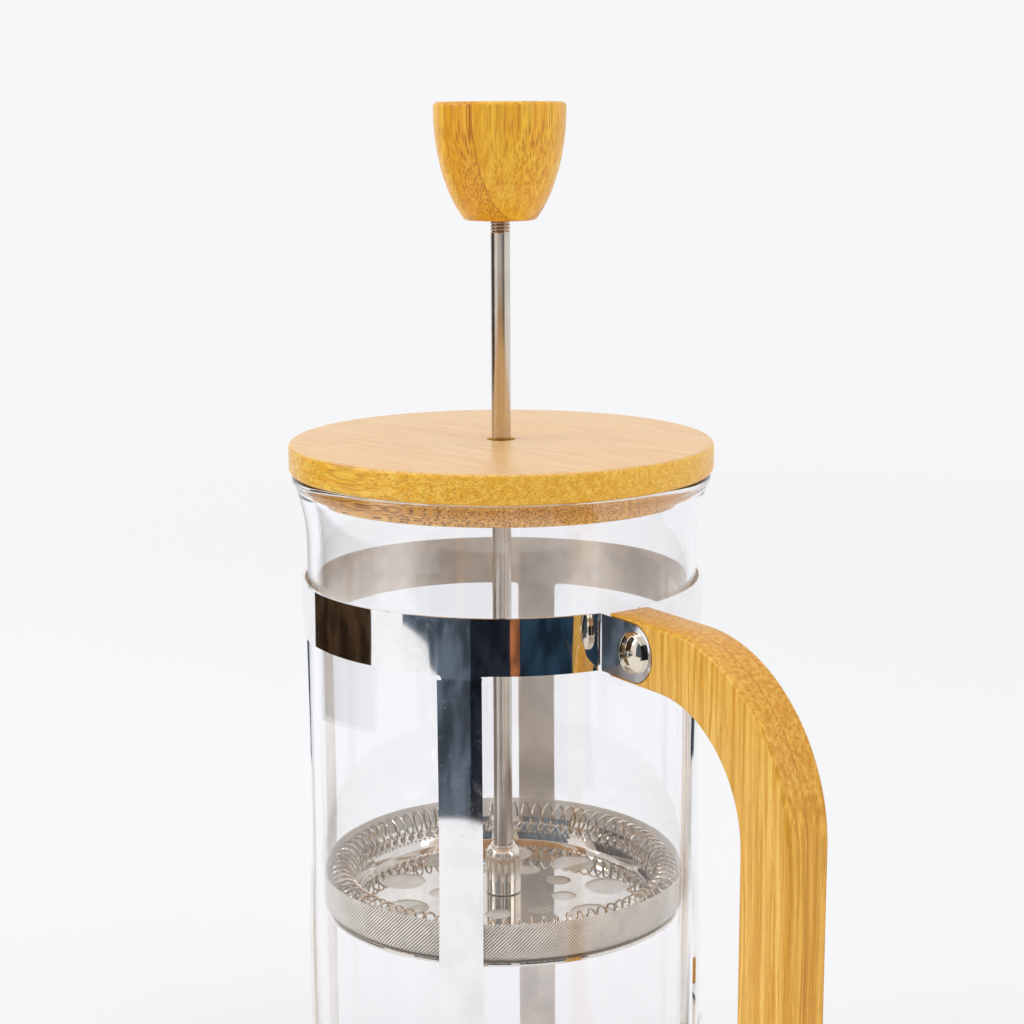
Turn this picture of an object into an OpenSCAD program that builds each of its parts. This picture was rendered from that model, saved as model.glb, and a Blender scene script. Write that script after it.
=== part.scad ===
// French press: a glass beaker in a steel cage with a wooden handle, and a lid
// with a plunger that carries a sprung mesh filter.
// The origin is on the axis of the beaker, at the table. +Z is up and the
// handle is on the +X side. The plunger is drawn part of the way down.

/* [Beaker] */
// Outer radius of the glass wall
beaker_r = 48.5; // [44:0.5:60]
// Height of the beaker from its base to its rim
beaker_h = 177; // [140:1:220]
// Thickness of the glass wall
glass_t = 2.2; // [1.8:0.1:3]
// Thickness of the glass base
glass_base_t = 3; // [2:0.5:5]
// Outer radius of the curve between the base and the wall
base_curve_r = 7; // [4:0.5:10]
// Radius of the outward curve below the rim
flare_r = 46; // [36:1:60]
// Angle at which the wall leans out at the rim
flare_angle = 21; // [14:1:26]
// Radius of the rounded bead along the rim
bead_r = 1.3; // [1.2:0.1:1.8]
// How far the pouring lip reaches past the rim
lip_reach = 5; // [3:0.5:7]
// Depth of the pouring lip below the rim
lip_depth = 16; // [12:1:22]
// Radius of the pouring lip at the rim
lip_r = 12; // [10:0.5:14]

/* [Lid] */
// Thickness of the lid disc
lid_t = 7.3; // [5:0.1:12]
// How far the lid disc reaches past the rim
lid_overhang = 0.7; // [0.3:0.1:3]
// Radius of the rounded edges of the lid disc
lid_edge_r = 1.2; // [0.5:0.1:2]
// Thickness of the plug under the lid disc
plug_t = 5.7; // [4:0.1:9]
// Gap around the foot of the plug
plug_gap = 1.6; // [0.5:0.1:3]
// Radius of the hole for the rod
lid_hole_r = 3.5; // [3:0.1:4]

/* [Plunger] */
// Radius of the rod
rod_r = 2.4; // [2:0.1:3]
// Outer radius of the threads at the ends of the rod
thread_r = 2.5; // [2.1:0.1:3.1]
// Pitch of the threads
thread_pitch = 0.8; // [0.5:0.1:1.2]
// Depth of the threads
thread_depth = 0.35; // [0.2:0.05:0.6]
// Length of thread that shows below the knob
thread_show = 3; // [1:0.5:6]
// Height of the knob above the lid, as drawn
knob_lift = 53.7; // [20:0.1:75]
// Height of the knob
knob_h = 28.2; // [20:0.1:40]
// Largest radius of the knob
knob_r = 16.1; // [12:0.1:22]
// Radius of the knob where the rod enters
knob_foot_r = 8.6; // [7:0.1:11]
// Radius of the rounded top edge of the knob
knob_edge_r = 1.2; // [0.5:0.1:2]
// Outer radius of the threaded insert in the knob
insert_r = 4; // [3.5:0.1:5]
// Length of the threaded insert
insert_len = 14; // [10:0.5:18]

/* [Filter] */
// Gap between the filter's mesh and the glass wall
filter_gap = 0.3; // [0.1:0.05:0.6]
// Height of the plate over the glass base with the plunger pressed down
press_gap = 10; // [8:0.5:20]
// Thickness of the spring plate
plate_t = 0.4; // [0.3:0.1:0.8]
// Height of the spring plate's upturned rim
rim_h = 6.3; // [5:0.1:8]
// How far the upturned rim leans out
rim_lean = 2.2; // [1:0.1:3]
// Number of turns in the coil spring, one to each small hole in the rim
coil_turns = 84; // [40:1:90]
// Radius of a turn of the coil, to the middle of its wire
coil_r = 3.4; // [2.8:0.1:4]
// Radius of the coil's wire
coil_wire_r = 0.3; // [0.2:0.05:0.4]
// Radius of the small holes in the rim
rim_hole_r = 0.95; // [0.7:0.05:1]
// Number of large holes in the plate, and of small ones between them
plate_hole_n = 9; // [6:1:10]
// Radius of the large holes
large_hole_r = 5.6; // [4:0.1:6]
// Distance of the large holes from the axis
large_hole_at = 27; // [25:0.5:29]
// Radius of the small holes
small_hole_r = 3.15; // [2:0.05:3.5]
// Distance of the small holes from the axis
small_hole_at = 16; // [14:0.5:17]
// Thickness of the woven mesh
mesh_t = 0.3; // [0.2:0.1:0.5]
// Outer radius of the curve between the mesh disc and its wall
mesh_curve_r = 3.2; // [2:0.1:4]
// Thickness of the cross plate
cross_t = 1; // [0.6:0.1:1.6]
// Width of the cross plate's outer ring
cross_ring_w = 8.5; // [6:0.5:12]
// Width of the cross plate's arms
cross_arm_w = 12; // [8:0.5:16]
// Radius of the cross plate's middle
cross_middle_r = 12; // [9:0.5:16]
// Radius of the hub nut
hub_r = 4.5; // [4:0.1:6]
// Height of the hub nut
hub_h = 12.8; // [10:0.1:18]
// Radius of the hub nut's rounded shoulder
hub_shoulder_r = 2.2; // [1:0.1:2.4]
// Height of the nut under the filter
filter_nut_h = 2.7; // [2:0.1:4]
// Width of that nut across its flats
filter_nut_w = 8; // [7:0.5:10]

/* [Cage] */
// Thickness of the steel sheet
sheet_t = 0.8; // [0.5:0.1:1.2]
// Gap between the glass and the band
glass_gap = 0.7; // [0.5:0.1:1.2]
// Height of the band
band_h = 13.5; // [10:0.5:16]
// Radius of the folds at the ears, to the middle of the sheet
fold_r = 1.2; // [1:0.1:2]
// Distance from the rim down to the middle of the band
band_drop = 33; // [28:1:45]
// Width of the straps
strap_w = 10.5; // [8:0.5:14]
// How far the straps lean in, part of the way down, to steady the glass
strap_pinch = 0.35; // [0:0.05:0.4]
// How far the straps bow out lower down
strap_bow = 0.9; // [0:0.1:1.5]
// Height of the ledges that carry the glass
ledge_z = 4.9; // [3:0.1:8]
// Length of the ledges
ledge_len = 6; // [4:0.5:9]
// Length of the feet
foot_len = 11; // [9:0.5:13]
// Radius of the bend above the feet
foot_bend_r = 4; // [2:0.5:5]
// Height of the brackets that hold the handle's lower end
bracket_h = 10; // [8:0.5:12]
// Height of the middle of the brackets above the table
bracket_z = 34; // [30:1:50]
// Radius of the rivets that hold the brackets
rivet_r = 1.1; // [0.8:0.1:1.3]

/* [Handle] */
// Width of the handle
handle_w = 11.6; // [9:0.1:18]
// Height of the handle's ends
handle_end_h = 15; // [14:0.5:20]
// Distance from the cage to the outside of the grip
handle_reach = 65.4; // [55:0.1:85]
// Thickness of the grip
grip_t = 15.5; // [12:0.5:20]
// Radius of the handle's outer corners
handle_outer_r = 40; // [30:1:45]
// Radius of the corners of the finger gap
handle_inner_r = 28.6; // [20:0.1:32]
// Gap between the band and the end of the handle
handle_gap = 2.5; // [2:0.1:5]
// Distance from the band to the screws
screw_reach = 12.05; // [10:0.05:14]
// Radius of the screws
screw_r = 2; // [1.5:0.1:2.5]
// Radius of the screws' heads
screw_head_r = 4.75; // [4:0.05:5]
// Height of the straight side of the screws' heads
screw_head_side = 0.8; // [0.4:0.1:1.2]
// Height of the dome on the screws' heads
screw_head_dome = 1.6; // [1:0.1:2]
// Width of the nuts across their flats
nut_w = 7; // [6:0.5:8]
// Height of the nuts' flats
nut_h = 2.6; // [2:0.1:4]

/* [Clearances] */
// Gap around screws, threads and pressed pieces
fit_gap = 0.05; // [0.02:0.01:0.1]
// Gap between pieces that rest on each other
seat_gap = 0.2; // [0.1:0.05:0.4]
// Gap between stacked sheets
stack_gap = 0.05; // [0.02:0.01:0.1]
// Gap around the ears in their pockets
pocket_gap = 0.3; // [0.2:0.1:0.6]

/* [Hidden] */
$fn = 96;
ROUND = 48;
ARC_STEPS = 8;
KNOB_STEPS = 16;
// How far a cutting shape reaches past what it cuts
CUT = 1;

// Beaker
base_z = ledge_z + seat_gap;
rim_z = base_z + beaker_h;
floor_z = base_z + glass_base_t;
beaker_in_r = beaker_r - glass_t;
flare_x = beaker_r + flare_r;
bead_from_flare = flare_r + glass_t / 2;
bead_x = flare_x - bead_from_flare * cos(flare_angle);
bead_z = rim_z - bead_r;
flare_z = bead_z - bead_from_flare * sin(flare_angle);
rim_r = bead_x + bead_r;
lip_x = rim_r + lip_reach - lip_r;
lip_root_r = beaker_r - seat_gap - lip_x;

// Lid
lid_z = rim_z + seat_gap;
lid_top_z = lid_z + lid_t;
plug_z = lid_z - plug_t;
lid_r = rim_r + lid_overhang;
flare_in_r = flare_r + glass_t;
plug_r = flare_x - sqrt(pow(flare_in_r, 2) - pow(plug_z - flare_z, 2)) - plug_gap;

// Plunger and filter
knob_z = lid_top_z + knob_lift;
plate_z = floor_z + press_gap + knob_lift;
mesh_z = plate_z - plate_t - stack_gap - mesh_t;
cross_z = mesh_z - stack_gap - cross_t;
filter_nut_z = cross_z - stack_gap - filter_nut_h;
hub_z = plate_z + stack_gap;
hub_top_z = hub_z + hub_h;
thread_hole_r = thread_r + fit_gap;
mesh_out_r = beaker_in_r - filter_gap;
coil_out_r = mesh_out_r - mesh_t - fit_gap * 2;
coil_at = coil_out_r - coil_r - coil_wire_r;
rim_hole_up = 0.57;
coil_pass_angle = 40;
rim_hole_z = rim_h * rim_hole_up;
rim_hole_at = coil_at - coil_r * cos(coil_pass_angle);
plate_r = rim_hole_at - rim_lean * rim_hole_up;
rim_top_r = plate_r + rim_lean;
coil_z = plate_z - plate_t / 2 + rim_hole_z + coil_r * sin(coil_pass_angle);
mesh_top_z = coil_z + coil_r + coil_wire_r;
cross_inset = 1;
cross_r = mesh_out_r - cross_inset;
mesh_hole_gap = 0.5;
large_hole_turn = 0.55;
small_hole_turn = 0.05;

// Cage
band_in_r = beaker_r + glass_gap;
band_out_r = band_in_r + sheet_t;
band_z = rim_z - band_drop;
fold_bead = 0.1;
fold_lap = 4;
strap_r = band_in_r + sheet_t / 2;
strap_angle = strap_w / strap_r * 180 / PI;
strap_n = 4;
strap_first = 180 / strap_n;
strap_lead = 1;
strap_root_h = 1;
bow_over_bracket = 26;
bow_over_foot = 12;
ledge_slope = 2;
bow_top_z = bracket_z + bow_over_bracket;
pinch_z = (band_z - band_h / 2 + bow_top_z) / 2;
pinch_len = 24;
bracket_in_r = strap_r + strap_bow + sheet_t / 2 + stack_gap;
bracket_out_r = bracket_in_r + sheet_t;
bracket_past_strap = strap_angle * 0.1;
ear_y = handle_w / 2 - sheet_t;
rivet_head_over = 0.8;
rivet_in_head_t = 0.6;
rivet_dome_h = 0.8;
rivet_dome_in = 0.2;

// Handle
handle_x = band_out_r + handle_gap;
handle_top_z = band_z + handle_end_h / 2;
handle_foot_z = bracket_z - handle_end_h / 2;
grip_out_x = band_out_r + handle_reach;
grip_in_x = grip_out_x - grip_t;
screw_x = band_out_r + screw_reach;
screw_hole_r = screw_r + fit_gap * 2;
screw_past_nut = 0.5;
recess_len = 4.6;
recess_w = 1.1;
recess_foot = 1;
recess_turn = 20;
nut_dome_inset = 0.2;
nut_dome_sink = 0.5;

// ---- Shared shapes ----

function unit(v) = v / norm(v);
function left_of(v) = [-v[1], v[0]];

// The sideways offset of point i of a path, cut square to the corner there
function side_step(path, i) =
    let (
        last = len(path) - 1,
        before = left_of(unit(path[max(i, 1)] - path[max(i, 1) - 1])),
        after = left_of(unit(path[min(i, last - 1) + 1] - path[min(i, last - 1)]))
    )
    (before + after) / (1 + before * after);

// The outline of a sheet of thickness t that follows a path
function sheet_outline(path, t) = concat(
    [for (i = [0 : len(path) - 1]) path[i] + side_step(path, i) * t / 2],
    [for (i = [len(path) - 1 : -1 : 0]) path[i] - side_step(path, i) * t / 2]
);

// Points along an arc about a centre
function arc(centre, r, from, to) = [
    for (i = [0 : ARC_STEPS])
        let (a = from + (to - from) * i / ARC_STEPS)
        centre + r * [cos(a), sin(a)]
];

// A ring of copies about the axis
module around(n, first = 0) {
    for (i = [0 : n - 1])
        rotate([0, 0, first + i * 360 / n])
            children();
}

// A thread drawn as a stack of ridges
module thread(length) {
    turns = floor(length / thread_pitch);
    root_r = thread_r - thread_depth;
    ridges = [
        for (i = [0 : turns - 1])
            each [
                [root_r, i * thread_pitch],
                [thread_r, (i + 0.5) * thread_pitch]
            ]
    ];
    outline = concat(
        [[0, 0]], ridges, [[root_r, turns * thread_pitch], [0, turns * thread_pitch]]
    );
    rotate_extrude()
        polygon(outline);
}

// The side view of an ear: a strip with a rounded end about the screw
module ear_outline(from_x, h) {
    translate([from_x, -h / 2])
        square([screw_x - from_x, h]);
    translate([screw_x, 0])
        circle(h / 2);
}

// A plate standing along X, with its side view as children
module upright(y, t) {
    translate([0, y + t, 0])
        rotate([90, 0, 0])
            linear_extrude(t)
                children();
}

// The angle from +X at which a curved band of inner radius r folds into an ear
function fold_angle(r) =
    asin((ear_y + sheet_t / 2 + fold_r) / (r + sheet_t / 2 + fold_r));

// A curved band of inner radius r, from one angle to another
module band_arc(r, h, from, to) {
    rotate([0, 0, from])
        rotate_extrude(angle = to - from)
            translate([r, -h / 2])
                square([sheet_t, h]);
}

// The ear on the +Y side of a curved band of inner radius r: a fold, then a
// flat plate with the screw's hole
module ear(r, h) {
    mid_r = r + sheet_t / 2;
    mid_y = ear_y + sheet_t / 2;
    a = fold_angle(r);
    fold_x = (mid_r + fold_r) * cos(a);
    // The fold is a little thicker and lower than the sheet, and laps over both
    // its ends
    fold_t = sheet_t + fold_bead;
    fold_h = h - fold_bead;
    translate([fold_x, mid_y + fold_r, 0])
        rotate([0, 0, 180 + a - fold_lap])
            rotate_extrude(angle = 90 - a + 2 * fold_lap)
                translate([fold_r - fold_t / 2, -fold_h / 2])
                    square([fold_t, fold_h]);
    difference() {
        upright(ear_y, sheet_t)
            ear_outline(fold_x, h);
        translate([screw_x, 0, 0])
            rotate([-90, 0, 0])
                cylinder(h = handle_w, r = screw_hole_r, $fn = ROUND);
    }
}

// ---- Beaker ----

// Everything inside the beaker's outer surface, moved in by d
module beaker_fill(d, foot_z, top_z) {
    r = beaker_r - d;
    curve_r = base_curve_r - d;
    translate([0, foot_z])
        square([r - curve_r, curve_r * 2]);
    intersection() {
        translate([r - curve_r, foot_z + curve_r])
            circle(curve_r);
        translate([0, foot_z])
            square([r, curve_r * 2]);
    }
    translate([0, foot_z + curve_r])
        square([r, flare_z - foot_z - curve_r]);
    difference() {
        translate([0, flare_z])
            square([flare_x - flare_r * 0.8, top_z - flare_z]);
        translate([flare_x, flare_z])
            circle(flare_r + d);
    }
}

// The cone of the pouring lip, moved in by d
module lip_cone(d, extra) {
    slope = (lip_r - lip_root_r) / lip_depth;
    translate([-lip_x, 0, rim_z - lip_depth])
        cylinder(h = lip_depth + extra, r1 = lip_root_r - d, r2 = lip_r - d + extra * slope);
}

module glass_beaker() {
    color([0.86, 0.92, 0.93, 0.35])
        difference() {
            union() {
                difference() {
                    union() {
                        rotate_extrude()
                            beaker_fill(0, base_z, bead_z);
                        lip_cone(0, 0);
                    }
                    rotate_extrude()
                        beaker_fill(glass_t, floor_z, rim_z + CUT);
                }
                rotate_extrude()
                    translate([bead_x, bead_z])
                        circle(bead_r, $fn = ROUND);
            }
            lip_cone(glass_t, 2 * CUT);
        }
}

// ---- Cage ----

// The path of a strap from the band down to the ledge under the glass
function strap_path() =
    let (
        foot_x = strap_r + strap_bow - foot_bend_r,
        low_z = sheet_t / 2,
        rise_x = strap_r - foot_len
    )
    concat(
        [
            [strap_r, band_z - band_h / 2],
            [strap_r, band_z - band_h / 2 - strap_lead],
            [strap_r - strap_pinch, pinch_z + pinch_len / 2],
            [strap_r - strap_pinch, pinch_z - pinch_len / 2],
            [strap_r + strap_bow, bow_top_z],
            [strap_r + strap_bow, low_z + foot_bend_r + bow_over_foot]
        ],
        arc([foot_x, low_z + foot_bend_r], foot_bend_r, 0, -90),
        [
            [rise_x, low_z],
            [rise_x - ledge_slope, ledge_z - low_z],
            [rise_x - ledge_slope - ledge_len, ledge_z - low_z]
        ]
    );

module strap() {
    rotate([0, 0, -strap_angle / 2])
        rotate_extrude(angle = strap_angle)
            polygon(sheet_outline(strap_path(), sheet_t));
    // A thinner root inside the sheet joins the strap to the band
    rotate([0, 0, -strap_angle / 4])
        rotate_extrude(angle = strap_angle / 2)
            translate([strap_r - sheet_t / 4, band_z - band_h / 2 - strap_root_h / 2])
                square([sheet_t / 2, strap_root_h]);
}

// The rivets through one bracket and its strap, on the +X side
module at_rivets() {
    for (dz = [-bracket_h / 4, bracket_h / 4])
        translate([0, 0, bracket_z + dz])
            rotate([0, 90, 0])
                children();
}

// The two straps beside the handle
module at_bracket_straps() {
    for (a = [-strap_first, strap_first])
        rotate([0, 0, a])
            children();
}

module rivet_holes() {
    at_rivets()
        translate([0, 0, beaker_r])
            cylinder(h = bracket_out_r - beaker_r + CUT, r = rivet_r + fit_gap, $fn = ROUND);
}

module cage() {
    turn = fold_angle(band_in_r);
    color([0.78, 0.78, 0.8])
        difference() {
            union() {
                translate([0, 0, band_z]) {
                    band_arc(band_in_r, band_h, turn, 360 - turn);
                    ear(band_in_r, band_h);
                    mirror([0, 1, 0])
                        ear(band_in_r, band_h);
                }
                around(strap_n, strap_first)
                    strap();
            }
            at_bracket_straps()
                rivet_holes();
        }
}

// The bracket on the +Y side: an arc behind the strap, and an ear beside the handle
module bracket() {
    turn = fold_angle(bracket_in_r);
    color([0.76, 0.76, 0.78])
        difference() {
            translate([0, 0, bracket_z]) {
                band_arc(bracket_in_r, bracket_h, turn, strap_first + strap_angle / 2 + bracket_past_strap);
                ear(bracket_in_r, bracket_h);
            }
            rotate([0, 0, strap_first])
                rivet_holes();
        }
}

module left_bracket() {
    mirror([0, 1, 0])
        bracket();
}

module right_bracket() {
    bracket();
}

// A rivet with a thin head inside the strap and a round head outside the bracket
module rivet() {
    strap_in = strap_r + strap_bow - sheet_t / 2;
    in_head = strap_in - stack_gap - rivet_in_head_t;
    out_head = bracket_out_r + stack_gap;
    head_r = rivet_r + rivet_head_over;
    dome_r = head_r * 1.5;
    translate([0, 0, in_head])
        cylinder(h = rivet_in_head_t, r = head_r, $fn = ROUND);
    translate([0, 0, in_head])
        cylinder(h = out_head - in_head + rivet_dome_in, r = rivet_r, $fn = ROUND);
    translate([0, 0, out_head])
        rotate_extrude()
            intersection() {
                translate([0, rivet_dome_h - dome_r])
                    circle(dome_r);
                square([head_r, rivet_dome_h]);
            }
}

module bracket_rivets() {
    color([0.7, 0.7, 0.72])
        at_bracket_straps()
            at_rivets()
                rivet();
}

// ---- Handle ----

// A box of the side view with rounded corners on its right-hand side
module side_view_box(left, right, foot, top, r) {
    intersection() {
        union() {
            translate([left, foot])
                square([right - r - left, top - foot]);
            translate([left, foot + r])
                square([right - left, top - foot - 2 * r]);
            for (z = [foot + r, top - r])
                translate([right - r, z])
                    circle(r);
        }
        translate([left, foot])
            square([right - left, top - foot]);
    }
}

module handle_side_view() {
    difference() {
        side_view_box(handle_x, grip_out_x, handle_foot_z, handle_top_z, handle_outer_r);
        side_view_box(
            handle_x - CUT, grip_in_x,
            handle_foot_z + handle_end_h, handle_top_z - handle_end_h,
            handle_inner_r
        );
    }
}

// The pockets for a pair of ears, and the screw's hole
module ear_pockets(z, h) {
    depth = sheet_t + stack_gap;
    translate([0, 0, z]) {
        for (y = [-handle_w / 2 - CUT, handle_w / 2 - depth])
            upright(y, depth + CUT)
                ear_pocket_outline(h);
        translate([screw_x, 0, 0])
            rotate([90, 0, 0])
                cylinder(h = handle_w * 2, r = screw_hole_r, center = true, $fn = ROUND);
    }
}

module ear_pocket_outline(h) {
    translate([handle_x - CUT, -h / 2 - pocket_gap])
        square([screw_x - handle_x + CUT, h + 2 * pocket_gap]);
    translate([screw_x, 0])
        circle(h / 2 + pocket_gap);
}

module handle() {
    color([0.86, 0.62, 0.28])
        difference() {
            upright(-handle_w / 2, handle_w)
                handle_side_view();
            ear_pockets(band_z, band_h);
            ear_pockets(bracket_z, bracket_h);
        }
}

// A cross-recessed screw along +Y, with its head on the -Y side of the handle
module handle_screw(z) {
    head_y = handle_w / 2 + stack_gap;
    dome_r = (pow(screw_head_r, 2) + pow(screw_head_dome, 2)) / (2 * screw_head_dome);
    translate([screw_x, -head_y, z])
        rotate([90, 0, 0])
            difference() {
                union() {
                    rotate_extrude()
                        square([screw_head_r, screw_head_side]);
                    rotate_extrude()
                        intersection() {
                            translate([0, screw_head_side + screw_head_dome - dome_r])
                                circle(dome_r);
                            translate([0, screw_head_side])
                                square([screw_head_r, screw_head_dome]);
                        }
                    translate([0, 0, -head_y * 2 - nut_h])
                        cylinder(h = head_y * 2 + nut_h + screw_past_nut, r = screw_r, $fn = ROUND);
                }
                for (turn = [recess_turn, recess_turn + 90])
                    rotate([0, 0, turn])
                        translate([-recess_len / 2, -recess_w / 2, recess_foot])
                            cube([recess_len, recess_w, screw_head_side + screw_head_dome]);
            }
}

// A domed nut on the +Y side of the handle
module handle_nut(z) {
    flat_y = handle_w / 2 + stack_gap;
    dome_r = nut_w / 2 - nut_dome_inset;
    translate([screw_x, flat_y, z])
        rotate([-90, 0, 0])
            difference() {
                union() {
                    cylinder(h = nut_h, r = nut_w / 2 / cos(30), $fn = 6);
                    rotate_extrude()
                        intersection() {
                            translate([0, nut_h])
                                circle(dome_r, $fn = ROUND);
                            translate([0, nut_h - nut_dome_sink])
                                square([dome_r, dome_r + nut_dome_sink]);
                        }
                }
                translate([0, 0, -CUT])
                    cylinder(h = nut_h + 2 * CUT, r = screw_r + fit_gap, $fn = ROUND);
            }
}

module upper_handle_screw() {
    color([0.8, 0.78, 0.74])
        handle_screw(band_z);
}

module upper_handle_nut() {
    color([0.8, 0.78, 0.74])
        handle_nut(band_z);
}

module lower_handle_screw() {
    color([0.8, 0.78, 0.74])
        handle_screw(bracket_z);
}

module lower_handle_nut() {
    color([0.8, 0.78, 0.74])
        handle_nut(bracket_z);
}

// ---- Lid ----

module lid_disc() {
    e = lid_edge_r;
    color([0.88, 0.68, 0.4])
        translate([0, 0, lid_z])
            rotate_extrude() {
                translate([lid_hole_r, 0])
                    square([lid_r - e - lid_hole_r, lid_t]);
                translate([lid_hole_r, e])
                    square([lid_r - lid_hole_r, lid_t - 2 * e]);
                for (z = [e, lid_t - e])
                    translate([lid_r - e, z])
                        circle(e, $fn = ROUND);
            }
}

module lid_plug() {
    color([0.78, 0.56, 0.33])
        translate([0, 0, plug_z])
            rotate_extrude()
                translate([lid_hole_r, 0])
                    square([plug_r - lid_hole_r, plug_t]);
}

// ---- Plunger ----

module plunger_rod() {
    rod_short = 2;
    top_thread_z = knob_z - thread_show;
    top_thread_len = thread_show + insert_len - rod_short;
    low_thread_len = hub_top_z - filter_nut_z + thread_pitch;
    low_turns = floor(low_thread_len / thread_pitch);
    low_top_z = filter_nut_z + low_turns * thread_pitch;
    color([0.7, 0.67, 0.62]) {
        translate([0, 0, low_top_z])
            cylinder(h = top_thread_z - low_top_z, r = rod_r, $fn = ROUND);
        translate([0, 0, top_thread_z])
            thread(top_thread_len);
        translate([0, 0, filter_nut_z])
            thread(low_thread_len);
    }
}

module hub_nut() {
    color([0.8, 0.79, 0.77])
        translate([0, 0, hub_z])
            difference() {
                rotate_extrude() {
                    square([hub_r, hub_h - hub_shoulder_r]);
                    square([hub_r - hub_shoulder_r, hub_h]);
                    translate([hub_r - hub_shoulder_r, hub_h - hub_shoulder_r])
                        circle(hub_shoulder_r, $fn = ROUND);
                }
                translate([0, 0, -CUT])
                    cylinder(h = hub_h + 2 * CUT, r = thread_hole_r, $fn = ROUND);
            }
}

// The knob's side follows part of an ellipse that is widest near the top
function knob_side() =
    let (
        wide_z = knob_h - knob_edge_r,
        half_tall = wide_z / sqrt(1 - pow(knob_foot_r / knob_r, 2))
    )
    [
        for (i = [0 : KNOB_STEPS])
            let (z = wide_z * i / KNOB_STEPS)
            [knob_r * sqrt(1 - pow((wide_z - z) / half_tall, 2)), z]
    ];

module knob() {
    edge_centre = [knob_r - knob_edge_r, knob_h - knob_edge_r];
    outline = concat(
        [[0, 0]],
        knob_side(),
        arc(edge_centre, knob_edge_r, 10, 90),
        [[0, knob_h]]
    );
    color([0.84, 0.6, 0.24])
        translate([0, 0, knob_z])
            difference() {
                rotate_extrude()
                    polygon(outline);
                translate([0, 0, -CUT])
                    cylinder(h = insert_len + seat_gap + CUT, r = insert_r + fit_gap, $fn = ROUND);
            }
}

module knob_insert() {
    color([0.72, 0.66, 0.5])
        translate([0, 0, knob_z + stack_gap])
            difference() {
                cylinder(h = insert_len, r = insert_r, $fn = ROUND);
                translate([0, 0, -CUT])
                    cylinder(h = insert_len + 2 * CUT, r = thread_hole_r, $fn = ROUND);
            }
}

// ---- Filter ----

module spring_plate() {
    mid_z = plate_z - plate_t / 2;
    path = [
        [thread_hole_r, mid_z],
        [plate_r, mid_z],
        [plate_r + rim_lean, mid_z + rim_h]
    ];
    step = 360 / plate_hole_n;
    rim_cut = 1.5 * CUT;
    color([0.8, 0.79, 0.77])
        difference() {
            rotate_extrude()
                polygon(sheet_outline(path, plate_t));
            around(plate_hole_n, step * large_hole_turn)
                translate([large_hole_at, 0, plate_z - plate_t - CUT])
                    cylinder(h = plate_t + 2 * CUT, r = large_hole_r, $fn = ROUND);
            around(plate_hole_n, step * small_hole_turn)
                translate([small_hole_at, 0, plate_z - plate_t - CUT])
                    cylinder(h = plate_t + 2 * CUT, r = small_hole_r, $fn = ROUND);
            around(coil_turns)
                translate([rim_hole_at - rim_cut, 0, mid_z + rim_hole_z])
                    rotate([0, 90, 0])
                        cylinder(h = 2 * rim_cut, r = rim_hole_r, $fn = 16);
        }
}

// The coil is drawn as one closed ring for each of its turns
module coil_spring() {
    color([0.74, 0.71, 0.66])
        around(coil_turns)
            translate([coil_at, 0, coil_z])
                rotate([90, 0, 0])
                    rotate_extrude()
                        translate([coil_r, 0])
                            circle(coil_wire_r, $fn = 16);
}

module mesh_screen() {
    mid_z = mesh_z + mesh_t / 2;
    wall_r = mesh_out_r - mesh_t / 2;
    curve_r = mesh_curve_r - mesh_t / 2;
    path = concat(
        [[thread_hole_r + mesh_hole_gap, mid_z]],
        arc([wall_r - curve_r, mid_z + curve_r], curve_r, -90, 0),
        [[wall_r, mesh_top_z]]
    );
    color([0.68, 0.65, 0.6])
        rotate_extrude()
            polygon(sheet_outline(path, mesh_t));
}

module cross_plate() {
    color([0.82, 0.82, 0.83])
        translate([0, 0, cross_z])
            difference() {
                rotate_extrude() {
                    translate([thread_hole_r, 0])
                        square([cross_r - cross_t / 2 - thread_hole_r, cross_t]);
                    translate([cross_r - cross_t / 2, cross_t / 2])
                        circle(cross_t / 2, $fn = ROUND);
                }
                translate([0, 0, -CUT])
                    linear_extrude(cross_t + 2 * CUT)
                        difference() {
                            circle(cross_r - cross_ring_w);
                            circle(cross_middle_r);
                            square([cross_r * 2, cross_arm_w], center = true);
                            square([cross_arm_w, cross_r * 2], center = true);
                        }
            }
}

module filter_nut() {
    color([0.78, 0.77, 0.75])
        translate([0, 0, filter_nut_z])
            difference() {
                cylinder(h = filter_nut_h, r = filter_nut_w / 2 / cos(30), $fn = 6);
                translate([0, 0, -CUT])
                    cylinder(h = filter_nut_h + 2 * CUT, r = thread_hole_r, $fn = ROUND);
            }
}

glass_beaker();
cage();
left_bracket();
right_bracket();
bracket_rivets();
handle();
upper_handle_screw();
upper_handle_nut();
lower_handle_screw();
lower_handle_nut();
lid_disc();
lid_plug();
plunger_rod();
hub_nut();
knob();
knob_insert();
spring_plate();
coil_spring();
mesh_screen();
cross_plate();
filter_nut();
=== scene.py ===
"""The looks of a French press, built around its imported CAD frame.

Lengths are in millimetres until a mesh is made. The camera, lights and cards are placed in metres.
"""

import math

import bmesh
import bpy
import numpy as np
from mathutils import Matrix, Vector


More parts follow.
